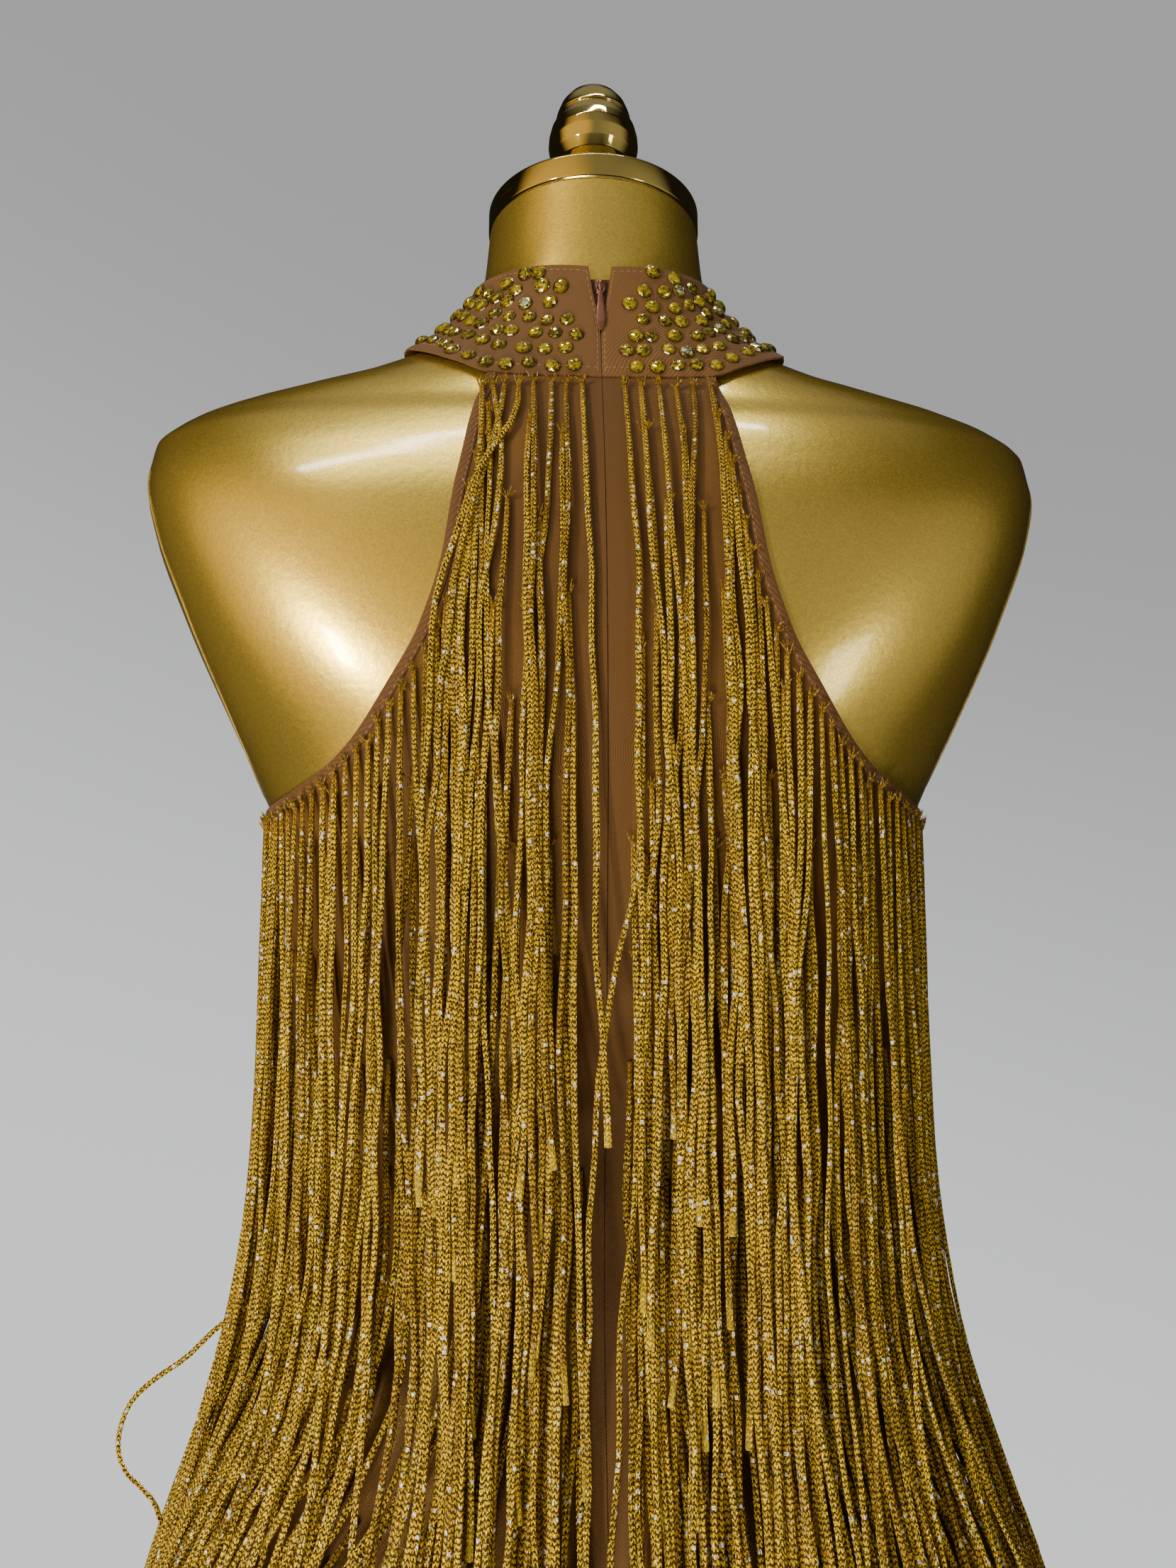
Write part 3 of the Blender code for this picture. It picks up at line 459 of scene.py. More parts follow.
def off_body(angle, height, distance):
    """Places at a distance outside the form's skin."""
    return body_point(angle, height) + body_normal(angle, height) * np.asarray(distance)[..., None]


def body_reach(x, y, height):
    """How far out places are, as a share of the form's outline there, with its slopes along X and Y."""
    half_width, n = half_width_at(height), squareness_at(height)
    depth = np.where(y < 0, back_depth_at(height), front_depth_at(height))
    u, v = np.abs(x) / half_width + 1e-9, np.abs(y) / depth + 1e-9
    reach = (u ** n + v ** n) ** (1 / n)
    slope_x = np.copysign(reach ** (1 - n) * u ** (n - 1) / half_width, x)
    slope_y = np.copysign(reach ** (1 - n) * v ** (n - 1) / depth, y)
    return reach, slope_x, slope_y


def fold_rise(angle, height):
    """How far the folds lift the cloth at places."""
    side_angle = turn_from_back(angle)
    degree = math.radians(1) * half_width_at(height)
    rise = np.zeros(np.broadcast(side_angle, height).shape)
    for fold in DRAG_FOLDS:
        along_x, along_z = (fold.to_angle - fold.from_angle) * degree, fold.to_height - fold.from_height
        x, z = (side_angle - fold.from_angle) * degree, height - fold.from_height
        share = np.clip((x * along_x + z * along_z) / (along_x ** 2 + along_z ** 2), 0, 1)
        away = np.hypot(x - along_x * share, z - along_z * share) / fold.half_width
        fade = np.sin(math.pi * (FOLD_END + (1 - 2 * FOLD_END) * share)) ** FOLD_FADE
        rise = np.maximum(rise, fold.ridge * fade * np.exp(-away * away))
    return rise


def pushed_clear(places, gap):
    """Move places level and outward until they are a gap clear of the form. Returns them and the way out."""
    x, y, height = (places[..., i].copy() for i in range(3))
    gap = gap + fold_rise(np.degrees(np.arctan2(x, -y)), height)
    for _ in range(4):
        reach, slope_x, slope_y = body_reach(x, y, height)
        rise = (body_reach(x, y, height + MM)[0] - body_reach(x, y, height - MM)[0]) / (2 * MM)
        level = np.hypot(slope_x, slope_y)
        steep = np.hypot(level, rise)
        move = np.maximum(gap - (reach - 1) / steep, 0) * steep / level
        x += move * slope_x / level
        y += move * slope_y / level
    outward = unit(np.stack((slope_x, slope_y, np.zeros_like(x)), -1))
    return np.stack((x, y, height), -1), outward


def skin_at(x, height, front=False):
    """Places on the form's back or front at distances along X and heights."""
    depth = front_depth_at(height) if front else -back_depth_at(height)
    n = squareness_at(height)
    y = depth * np.maximum(1 - (np.abs(x) / half_width_at(height)) ** n, 1e-6) ** (1 / n)
    return np.stack(np.broadcast_arrays(x, y, height), -1).astype(float)


def lengths_along(points):
    """Distance of each point of a line, or of each of many lines, from its start."""
    steps = np.linalg.norm(np.diff(points, axis=-2), axis=-1)
    return np.concatenate((np.zeros(steps.shape[:-1] + (1,)), np.cumsum(steps, axis=-1)), -1)


def even_angles(height, start, end, count):
    """Angles spaced evenly along the form's outline at a height."""
    angles = np.linspace(start, end, 720)
    run = lengths_along(body_point(angles, height))
    return np.interp(np.linspace(0, run[-1], count), run, angles)


# Meshes


class Parts:
    """Points and faces of one piece, gathered before its mesh is made."""

    def __init__(self):
        self.points, self.faces, self.uv, self.marks, self.count = [], [], [], [], 0

    def add(self, points, faces, uv=None, marks=(0, 0, 0)):
        """Take on points, arrays of their faces, the UV of each face's corners, and a mark for each point."""
        points = np.asarray(points, float).reshape(-1, 3)
        for i, group in enumerate(faces):
            group = np.asarray(group)
            self.faces.extend((group + self.count).tolist())
            corners = np.zeros((group.size, 2)) if uv is None else np.asarray(uv[i], float).reshape(-1, 2)
            self.uv.append(corners)
        self.marks.append(np.broadcast_to(marks, (len(points), 3)))
        self.points.append(points)
        self.count += len(points)

    def make(self, name, material, smooth=True, sharp=None):
        """The piece as an object, with its UV map, its marks and its material."""
        mesh = bpy.data.meshes.new(name)
        mesh.from_pydata(np.concatenate(self.points).tolist(), [], self.faces)
        layer = mesh.uv_layers.new(name="cloth")
        layer.data.foreach_set("uv", np.concatenate(self.uv).astype(np.float32).ravel())
        marks = np.ones((self.count, 4), np.float32)
        marks[:, :3] = np.concatenate(self.marks)
        colours = mesh.color_attributes.new("marks", "FLOAT_COLOR", "POINT")
        colours.data.foreach_set("color", marks.ravel())
        mesh.polygons.foreach_set("use_smooth", [smooth] * len(mesh.polygons))
        if sharp is not None:
            mesh.set_sharp_from_angle(angle=math.radians(sharp))
        mesh.materials.append(material)
        piece = bpy.data.objects.new(name, mesh)
        bpy.context.scene.collection.objects.link(piece)
        return piece


def grid_faces(rows, columns, start=0, closed=False):
    """Corners of the quads of a grid of points, row by row."""
    across = columns if closed else columns - 1
    i, j = np.meshgrid(np.arange(rows - 1), np.arange(across), indexing="ij")
    k = (j + 1) % columns
    corners = (i * columns + j, i * columns + k, (i + 1) * columns + k, (i + 1) * columns + j)
    return start + np.stack(corners, -1).reshape(-1, 4)


def add_shell(parts, outer, normals, thickness):
    """Add a thin closed shell to parts: its outer grid of points, and an inner grid one thickness further in.

    Its UV is in metres: distance along each row from the middle column, and height.
    """
    rows, columns, _ = outer.shape
    inner = outer - normals * np.broadcast_to(thickness, (rows, columns))[..., None]
    count = rows * columns
    run = lengths_along(outer)
    run -= run[:, columns // 2][:, None]
    uv = np.stack((run, outer[..., 2]), -1).reshape(-1, 2)
    uv = np.concatenate((uv, uv))
    index = np.arange(count).reshape(rows, columns)
    rims = []
    for line, flip in ((index[0], False), (index[-1], True), (index[:, 0], True), (index[:, -1], False)):
        a, b = line[:-1], line[1:]
        rim = np.stack((a, a + count, b + count, b), -1)
        rims.append(rim[:, ::-1] if flip else rim)
    faces = [grid_faces(rows, columns), grid_faces(rows, columns, count)[:, ::-1], *rims]
    points = np.concatenate((outer.reshape(-1, 3), inner.reshape(-1, 3)))
    parts.add(points, faces, [uv[corners] for corners in faces])


def add_tubes(parts, paths, outward, width, thickness, sides, girth=1.0, twist=0.0, link=MM, marks=None):
    """Add tubes along paths of shape (tubes, points, 3), each closed at both ends.

    Outward is the way that a tube's thickness faces. Its UV is the way round it, plus the number of the tube,
    and the distance along it in links.
    """
    count, steps, _ = paths.shape
    along = unit(np.gradient(paths, axis=1))
    across = unit(np.cross(along, outward))
    upward = np.cross(across, along)
    turn = math.tau * np.arange(sides) / sides + np.broadcast_to(twist, (count, steps))[..., None]
    girth = np.broadcast_to(girth, (count, steps))[..., None, None]
    ring = across[:, :, None] * (np.cos(turn) * width / 2)[..., None]
    ring = (ring + upward[:, :, None] * (np.sin(turn) * thickness / 2)[..., None]) * girth
    dome = along * thickness * 0.2
    ends = np.stack((paths[:, 0] - dome[:, 0], paths[:, -1] + dome[:, -1]), 1)
    points = np.concatenate(((paths[:, :, None] + ring).reshape(-1, 3), ends.reshape(-1, 3)))

    i, j, s = np.meshgrid(np.arange(count), np.arange(steps - 1), np.arange(sides), indexing="ij")
    here, there = (i * steps + j) * sides, (i * steps + j + 1) * sides
    t = (s + 1) % sides
    quads = np.stack((here + s, there + s, there + t, here + t), -1).reshape(-1, 4)
    run = lengths_along(paths) / link
    near, far = run[i, j], run[i, j + 1]
    round_here, round_next = i + s / sides, i + (s + 1) / sides
    quad_uv = np.stack((round_here, near, round_here, far, round_next, far, round_next, near), -1)

    i, s = np.meshgrid(np.arange(count), np.arange(sides), indexing="ij")
    t = (s + 1) % sides
    first, last = i * steps * sides, (i * steps + steps - 1) * sides
    cap = count * steps * sides + 2 * i
    start = np.stack((first + s, first + t, cap), -1).reshape(-1, 3)
    end = np.stack((last + t, last + s, cap + 1), -1).reshape(-1, 3)
    middle = i + (s + 0.5) / sides
    tip = run[i, -1]
    start_uv = np.stack((middle, 0 * tip, middle, 0 * tip, middle, 0 * tip), -1)
    end_uv = np.stack((middle, tip, middle, tip, middle, tip), -1)

    if marks is None:
        all_marks = (0, 0, 0)
    else:
        on_rings = np.repeat(marks.reshape(-1, 3), sides, axis=0)
        all_marks = np.concatenate((on_rings, np.stack((marks[:, 0], marks[:, -1]), 1).reshape(-1, 3)))
    parts.add(points, [quads, start, end], [quad_uv, start_uv, end_uv], all_marks)


def softened(profile, radius, steps=3):
    """A turned profile with a small curve in place of each corner."""
    made = [profile[0]]
    for before, corner, after in zip(profile, profile[1:], profile[2:]):
        before, corner, after = (np.array(p, float) for p in (before, corner, after))
        into, out_of = before - corner, after - corner
        reach_in = min(radius, 0.45 * np.linalg.norm(into))
        reach_out = min(radius, 0.45 * np.linalg.norm(out_of))
        start = corner + unit(into) * reach_in
        end = corner + unit(out_of) * reach_out
        for t in np.linspace(0, 1, steps + 1):
            made.append(tuple((1 - t) ** 2 * start + 2 * t * (1 - t) * corner + t * t * end))
    made.append(profile[-1])
    return made


def closed_stack(name, rings, low, high, material):
    """A closed piece of level rings of points from the bottom up, and a point on the axis at each end."""
    count, sides, _ = rings.shape
    j = np.arange(sides)
    k = (j + 1) % sides
    top = (count - 1) * sides
    points = np.concatenate((rings.reshape(-1, 3), [(0, 0, low), (0, 0, high)]))
    low_fan = np.stack((k, j, np.full(sides, len(points) - 2)), -1)
    high_fan = np.stack((top + j, top + k, np.full(sides, len(points) - 1)), -1)
    parts = Parts()
    parts.add(points, [grid_faces(count, sides, closed=True), low_fan, high_fan])
    return parts.make(name, material, sharp=CORNER_ANGLE)


def turned(turning, material):
    """A turned piece about the Z axis. Its profile starts and ends on the axis."""
    profile = np.array(softened(turning.profile, turning.corner))
    radius, height = profile[1:-1, :1], profile[1:-1, 1:]
    turns = math.tau * np.arange(turning.sides) / turning.sides
    rings = np.stack((
        radius * np.sin(turns), -radius * np.cos(turns), np.repeat(height, turning.sides, 1),
    ), -1)
    return closed_stack(turning.name, rings, profile[0][1], profile[-1][1], material)


def side_name(side):
    """The name of a side of the wearer."""
    return "right" if side > 0 else "left"


def quarter_name(side, front):
    """The name of a quarter of the body."""
    return f"{'front' if front else 'back'}_{side_name(side)}"


def place_piece(piece, nodes=(), body=DRESS):
    """Put a finished piece on its body and the solids that it stands for."""
    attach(piece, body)
    if nodes:
        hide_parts(*nodes)


# Shader nodes


class Value:
    """An output of a node. Arithmetic on it adds Math nodes to its tree."""

    def __init__(self, tree, socket):
        self.tree, self.socket = tree, socket

    def math(self, operation, *others):
        """The result of a Math node on this value and others."""
        return node(self.tree, "ShaderNodeMath", dict(enumerate((self, *others))), operation=operation)

    def __add__(self, other):
        return self.math("ADD", other)

    def __sub__(self, other):
        return self.math("SUBTRACT", other)

    def __mul__(self, other):
        return self.math("MULTIPLY", other)

    def remapped(self, low, high, to_low=0.0, to_high=1.0):
        """This value moved smoothly from one range to another, and kept within it."""
        inputs = {"Value": self, "From Min": low, "From Max": high, "To Min": to_low, "To Max": to_high}
        return node(self.tree, "ShaderNodeMapRange", inputs, interpolation_type="SMOOTHSTEP")

    def blended(self, first, second):
        """A colour between two colours. This value is the share of the second."""
        ends = [colour if isinstance(colour, Value) else (*colour, 1.0) for colour in (first, second)]
        return node(self.tree, "ShaderNodeMix", {0: self, 6: ends[0], 7: ends[1]}, 2, data_type="RGBA")

    def bumped(self, strength, distance):
        """A normal, with this value as the height."""
        return node(self.tree, "ShaderNodeBump", {"Height": self, "Strength": strength, "Distance": distance})

    def split(self):
        """The X, Y and Z of a place."""
        made = added(self.tree, "ShaderNodeSeparateXYZ", {0: self})
        return [Value(self.tree, socket) for socket in made.outputs]


def added(tree, kind, inputs, **settings):
    """A new node. Inputs are set from plain values, or linked from the outputs of other nodes."""
    made = tree.nodes.new(kind)
    for name, value in settings.items():
        setattr(made, name, value)
    for name, value in inputs.items():
        if isinstance(value, Value):
            tree.links.new(value.socket, made.inputs[name])
        else:
            made.inputs[name].default_value = value
    return made


def node(tree, kind, inputs, output=0, **settings):
    """One output of a new node."""
    return Value(tree, added(tree, kind, inputs, **settings).outputs[output])


def noise(place, scale, detail=2.0):
    """The value of a noise texture."""
    return node(place.tree, "ShaderNodeTexNoise", {"Vector": place, "Scale": scale, "Detail": detail})


def chance(place):
    """A random value for each place."""
    return node(place.tree, "ShaderNodeTexWhiteNoise", {"Vector": place}, "Value", noise_dimensions="3D")


def stretched(place, scale):
    """Places scaled along each axis."""
    return node(place.tree, "ShaderNodeMapping", {0: place, "Scale": scale})


def object_place(tree):
    """Places in metres, for patterns that don't follow a UV map."""
    return node(tree, "ShaderNodeTexCoord", {}, "Object")


def cloth_place(tree):
    """Places of the piece's own UV map."""
    return node(tree, "ShaderNodeUVMap", {}, uv_map="cloth")


def mark(tree, channel):
    """One channel of the marks painted on a piece's points."""
    painted = node(tree, "ShaderNodeAttribute", {}, "Color", attribute_name="marks")
    return node(tree, "ShaderNodeSeparateColor", {0: painted}, channel)


def shared_group(name, inputs, outputs, fill):
    """A node group, built once by fill. Inputs are names and defaults: the first is a place and has none."""
    tree = bpy.data.node_groups.get(name)
    if tree:
        return tree
    tree = bpy.data.node_groups.new(name, "ShaderNodeTree")
    for label, default in inputs.items():
        kind = "NodeSocketVector" if default is None else "NodeSocketFloat"
        socket = tree.interface.new_socket(name=label, in_out="INPUT", socket_type=kind)
        if default is not None:
            socket.default_value = default
    for label in outputs:
        tree.interface.new_socket(name=label, in_out="OUTPUT", socket_type="NodeSocketFloat")
    start = tree.nodes.new("NodeGroupInput")
    end = tree.nodes.new("NodeGroupOutput")
    made = fill(*(Value(tree, start.outputs[label]) for label in inputs))
    for value, label in zip(made, outputs):
        tree.links.new(value.socket, end.inputs[label])
    return tree


def placed_group(group, place, sizes):
    """The outputs of a shared group placed in a material, with its own sizes."""
    inputs = {name.replace("_", " ").capitalize(): value for name, value in sizes.items()}
    made = added(place.tree, "ShaderNodeGroup", {"Place": place, **inputs}, node_tree=group)
    return [Value(place.tree, socket) for socket in made.outputs]


def mottle(place, **sizes):
    """Uneven colour over a surface: large soft patches with a finer grain in them."""

    def fill(place, patch_scale, grain_scale, grain_share):
        soft = noise(place, patch_scale, 3.0)
        both = noise(place, grain_scale) * grain_share + soft
        return [(both - (grain_share * 0.5 + 0.5)).remapped(-0.32, 0.32)]

    inputs = {"Place": None, "Patch scale": 12.0, "Grain scale": 400.0, "Grain share": 0.3}
    return placed_group(shared_group("Mottle", inputs, ["Value"], fill), place, sizes)[0]


def knit(place, **sizes):
    """A net of knitted threads: how open it is at each place, and the height of its threads."""

    def fill(place, wales, courses):
        x, y, _ = place.split()
        net = (x * wales).math("COSINE") * (y * courses).math("COSINE")
        hole = net.remapped(-0.25, 0.55)
        slub = noise(stretched(place, (60, 900, 1)), 1.0)
        return [hole, slub * 0.5 + (hole * -1.0 + 1.0)]

    inputs = {"Place": None, "Wales": 6000.0, "Courses": 7000.0}
    return placed_group(shared_group("Knit", inputs, ["Hole", "Height"], fill), place, sizes)


def ribs(place, **sizes):
    """Fine slanting ribs, as in a firm twill or a woven tape."""

    def fill(place, pitch, slant):
        x, y, _ = place.split()
        phase = noise(place, 260.0) * 2.4 + (x * slant + y) * pitch
        return [phase.math("SINE") * 0.5 + 0.5]

    inputs = {"Place": None, "Pitch": 7000.0, "Slant": 0.35}
    return placed_group(shared_group("Ribs", inputs, ["Height"], fill), place, sizes)[0]


def handling(place):
    """Faint smears and hairline scratches on a polished face."""

    def fill(place):
        smear = noise(place, 38.0, 4.0).remapped(0.42, 0.72)
        hair = noise(stretched(place, (90, 90, 1400)), 1.0).remapped(0.66, 0.74)
        return [(smear * 0.6).math("MAXIMUM", hair)]

    return placed_group(shared_group("Handling", {"Place": None}, ["Value"], fill), place, {})[0]


# Materials


def new_material(name, **constants):
    """A material and its node tree, with constant values set on its shader."""
    material = bpy.data.materials.new(name)
    material.use_nodes = True
    shader = material.node_tree.nodes["Principled BSDF"]
    for socket, value in constants.items():
        shader.inputs[socket.replace("_", " ").title().replace("Ior", "IOR")].default_value = value
    return material, material.node_tree


def wired(material, **values):
    """The material, once values are linked to its shader's inputs."""
    tree = material.node_tree
    for name, value in values.items():
        tree.links.new(value.socket, tree.nodes["Principled BSDF"].inputs[name.replace("_", " ").title()])
    return material


def made_once(maker, name, *values):
    """The material of that name, made if it isn't there yet."""
    return bpy.data.materials.get(name) or maker(name, *values)


def lacquer_material(name, form):
    """Pearl gold lacquer under a clear coat, with flakes and a little orange peel."""
    material, tree = new_material(name, metallic=0.86, coat_weight=0.8, coat_roughness=0.085,
                                  specular_tint=(0.30, 0.24, 0.12, 1.0))
    place = object_place(tree)
    shade = mottle(place, patch_scale=7.0, grain_scale=900.0, grain_share=0.75)
    peel = noise(place, 330.0, 1.5)
    flake = noise(place, 2400.0, 1.0)
    return wired(material, base_color=shade.blended(form.lacquer_deep, form.lacquer_bright),
                 roughness=flake.remapped(0.3, 0.7, 0.25, 0.35),
                 normal=(flake * 0.18 + peel).bumped(0.5, 0.12 * MM))


def lacquer_seam_material(name, form):
    """The dark line where two moulded shells of the form meet."""
    material, tree = new_material(name, metallic=0.5)
    shade = noise(object_place(tree), 420.0)
    deep = np.array(form.lacquer_deep)
    return wired(material, base_color=shade.blended(deep * 0.42, deep * 0.8),
                 roughness=shade.remapped(0.3, 0.7, 0.35, 0.55))


def plating_material(name, form):
    """Polished gold plating with faint smears."""
    material, tree = new_material(name, metallic=1.0)
    place = object_place(tree)
    wear = handling(place)
    bright = np.array(form.plating_colour)
    return wired(material, base_color=wear.blended(bright, bright * (0.86, 0.82, 0.7)),
                 roughness=wear.remapped(0.0, 1.0, 0.045, 0.26),
                 normal=noise(place, 60.0).bumped(0.05, 0.2 * MM))


def mesh_material(name, cloth, open_share, shade):
    """Brown power mesh: a fine knitted net that lets what is behind it show. It lies double along the zip."""
    material, tree = new_material(name, sheen_weight=0.08, sheen_roughness=0.4, specular_ior_level=0.3)
    hole, height = knit(cloth_place(tree), wales=math.tau / cloth.knit_pitch,
                        courses=math.tau / (COURSE_SHARE * cloth.knit_pitch))
    tone = mottle(object_place(tree), patch_scale=16.0)
    bright, deep = np.array(cloth.mesh_colour) * shade, np.array(cloth.mesh_shade) * shade
    x, y, _ = object_place(tree).split()
    placket = x.math("ABSOLUTE").math("LESS_THAN", PLACKET_HALF_WIDTH) * y.math("LESS_THAN", 0.0)
    threads = placket.blended(tone.blended(deep, bright), deep * 0.95)
    opening = hole * (placket * (-0.7 * open_share) + open_share)
    # Painted shade: in the net's holes the colour is darkened, as shade in the gaps between threads.
    return wired(material, base_color=(hole * 0.5).blended(threads, deep * 0.55), alpha=opening * -1.0 + 1.0,
                 roughness=tone.remapped(0.0, 1.0, 0.62, 0.8), normal=height.bumped(0.4, 0.15 * MM))


def twill_material(name, colour, pitch, slant):
    """Firm brown cloth with fine ribs, for the collar, the bindings and the zip's tape."""
    material, tree = new_material(name, sheen_weight=0.10, sheen_roughness=0.45, specular_ior_level=0.25)
    rib = ribs(cloth_place(tree), pitch=pitch, slant=slant)
    tone = mottle(object_place(tree), patch_scale=22.0, grain_scale=700.0)
    colour = np.array(colour)
    crest = tone.blended(colour * 0.78, colour * 1.16)
    # Painted shade: the grooves between the ribs are darkened; the crests keep the cloth's own uneven tone.
    return wired(material, base_color=rib.remapped(0.1, 0.9).blended(colour * 0.74, crest),
                 roughness=rib.remapped(0.0, 1.0, 0.85, 0.66), normal=rib.bumped(0.55, 0.22 * MM))


def thread_material(name, colour):
    """Sewing thread: fine twisted plies."""
    material, tree = new_material(name, sheen_weight=0.2)
    turn, run, _ = cloth_place(tree).split()
    ply = (turn * math.tau + run * 9.0).math("SINE") * 0.5 + 0.5
    colour = np.array(colour)
    # Painted shade and highlight: the plies are darker in their grooves and lighter on their crests.
    return wired(material, base_color=ply.blended(colour * 0.6, colour * 1.2),
                 roughness=ply.remapped(0.0, 1.0, 0.7, 0.5), normal=ply.bumped(0.5, 0.1 * MM))


def chainette_plait(place, round_it, run):
    """The height of the plaited yarn, and the grooves between its loops, which also mark painted shade."""
    vee = ((round_it * LINKS_ROUND).math("FRACT") - 0.5).math("ABSOLUTE")
    phase = noise(place, 800.0) * 1.4 + (vee * 0.9 + run)
    plait = (phase * math.tau).math("COSINE") * 0.5 + 0.5
    return plait, vee.remapped(0.34, 0.5)


def chainette_glints(place, turn, round_it, run, share):
    """Where the silver thread shows, painted as near-white glints: small ovals, in a share of the links."""
    along = run * 1.25
    link = along.math("FLOOR")
    across = round_it * LINKS_ROUND + link * 0.37
    cell = {0: turn.math("FLOOR"), 1: link, 2: across.math("FLOOR")}
    drawn = noise(place, 26.0, 1.0) * 0.12 + chance(node(place.tree, "ShaderNodeCombineXYZ", cell))
    off_along, off_across = ((way.math("FRACT") - 0.5).math("ABSOLUTE") for way in (along, across))
    inside = off_along.math("MAXIMUM", off_across).remapped(0.46, 0.34)
    return drawn.math("GREATER_THAN", 1.06 - share) * inside


def chainette_material(name, fringe):
    """Gold chainette with painted shade in its hollows, painted highlights, and silver lurex painted as
    glints.

    The marks hold a strand's own tone, how near a place is to its head, and how near to its cut end.
    """
    material, tree = new_material(name, sheen_weight=0.06, sheen_roughness=0.35, specular_ior_level=0.3)
    place = object_place(tree)
    turn, run, _ = cloth_place(tree).split()
    round_it = turn.math("FRACT")
    plait, groove = chainette_plait(place, round_it, run)
    glint = chainette_glints(place, turn, round_it, run, fringe.glint_share)
    fine = noise(place, 1500.0, 1.0)
    tone = noise(place, 80.0) * 0.5 + mark(tree, "Red") * 0.6
    yarn = tone.remapped(0.15, 0.72).blended(fringe.yarn_deep_and_hollow_shade, fringe.yarn_bright)
    # Painted highlight: fine specks are lightened towards the bright yellow that also tints the cut ends.
    lit = fine.remapped(0.44, 0.72).blended(yarn, fringe.tip_and_highlight_colour)
    # Painted shade: the hollows and grooves between the loops are darkened towards a near black brown.
    hollow = (plait - groove * 0.45).remapped(0.02, 0.62)
    shaded = hollow.blended(np.array(fringe.yarn_deep_and_hollow_shade) * 0.14, lit)
    headed = (mark(tree, "Green") * 0.6).blended(shaded, fringe.head_colour)
    tipped = mark(tree, "Blue").blended(headed, fringe.tip_and_highlight_colour)
    # The silver thread's flecks are painted near white: partly its own silver, partly painted glint.
    return wired(material, base_color=glint.blended(tipped, fringe.glint_colour),
                 metallic=glint.remapped(0.0, 1.0, 0.50, 0.20),
                 roughness=glint.remapped(0.0, 1.0, 0.32, 0.20),
                 normal=(fine * 0.5 + plait - groove * 0.5).bumped(1.0, 0.8 * MM))


def stone_material(name, trim):
    """Foil-backed crystal: a deep olive gold, each stone with its own tone, and painted facet reflections.

    The marks hold a stone's tone, how near a place is to its rim, and whether the stone sparks.
    """
    material, tree = new_material(name, metallic=0.6, coat_weight=1.0, coat_roughness=0.02)
    rim = mark(tree, "Green")
    # Painted reflections: each facet is lightened or darkened at random, over the stone's own tone.
    facet = chance(node(tree, "ShaderNodeNewGeometry", {}, "True Normal"))
    light = (mark(tree, "Red") * 0.45 + facet * 0.75).remapped(0.28, 0.95)
    facets = light.blended(trim.stone_deep, trim.stone_bright)
    colour = rim.blended(facets, np.array(trim.stone_deep) * (0.9, 0.8, 1.0))
    spark = mark(tree, "Blue").remapped(0.9, 1.0) * facet.math("GREATER_THAN", 0.6)
    return wired(material, base_color=spark.blended(colour, trim.spark_colour),
                 roughness=rim.remapped(0.0, 1.0, 0.07, 0.2))


def zip_material(name, trim):
    """Copper-brown enamelled metal, worn a little brighter in patches."""
    material, tree = new_material(name, metallic=0.75, coat_weight=0.4, coat_roughness=0.15)
    place = object_place(tree)
    wear = mottle(place, patch_scale=260.0, grain_scale=1800.0, grain_share=0.6)
    colour = np.array(trim.zip_colour)
    return wired(material, base_color=wear.blended(colour * 0.7, colour * 1.35),
                 roughness=wear.remapped(0.0, 1.0, 0.38, 0.24),
                 normal=noise(place, 900.0).bumped(0.15, 0.1 * MM))


# Form and stand


def make_form_body(material):
    """The moulded body of the form, lofted through close rings and closed at the hips and the neck."""
    bottom, top = BODY_SECTIONS[0].height, BODY_SECTIONS[-1].height
    low, high = SHOULDER_HEIGHTS
    heights = np.linspace(bottom, top, round((top - bottom) / BODY_RING_STEP))
    elsewhere = heights[(heights < low) | (heights > high)]
    heights = np.unique(np.concatenate((elsewhere, np.linspace(low, high, SHOULDER_RINGS))))
    angles = 360 * np.arange(BODY_COLUMNS) / BODY_COLUMNS
    rings = body_point(angles[None, :], heights[:, None])
    return closed_stack("dress_form_body", rings, bottom, top, material)


def make_arm_seam(side, material):
    """The fine line round the plate that closes the form at one arm."""
    turns = np.linspace(0, math.tau, 97)
    y = ARM_SEAM_MIDDLE[0] + ARM_SEAM_REACH[0] * np.cos(turns)
    z = ARM_SEAM_MIDDLE[1] + ARM_SEAM_REACH[1] * np.sin(turns)
    n = squareness_at(z)
    depth = np.where(y < 0, back_depth_at(z), front_depth_at(z))
    x = half_width_at(z) * np.maximum(1 - (np.abs(y) / depth) ** n, 1e-6) ** (1 / n)
    path = np.stack((side * x, y, z), -1)
    angle = np.degrees(np.arctan2(path[:, 0], -path[:, 1]))
    outward = body_normal(angle, z)
    parts = Parts()
    add_tubes(parts, path[None], outward[None], ARM_SEAM_WIDTH, ARM_SEAM_THICKNESS, 8)
    return parts.make(f"arm_seam_{side_name(side)}", material)


# Panels


def panel_grid(shares, centre, centre_heights):
    """Inner points and normals of a panel. Shares are of the way from its centre line to its edge."""
    heights = centre_heights[:, None]
    edge = edge_angle_at(heights) - SIDE_HALF_GAP
    start = 0.0 if centre else CENTRE_HALF_GAP
    angle = np.sign(shares) * (start + (edge - start) * np.abs(shares)) + centre
    height = heights + (edge_height_at(heights) - heights) * np.abs(shares)
    height = np.minimum(height, collar_bottom_at(turn_from_back(angle)) - SEAM_GAP)
    return off_body(angle, height, PANEL_OFFSET + fold_rise(angle, height)), body_normal(angle, height)


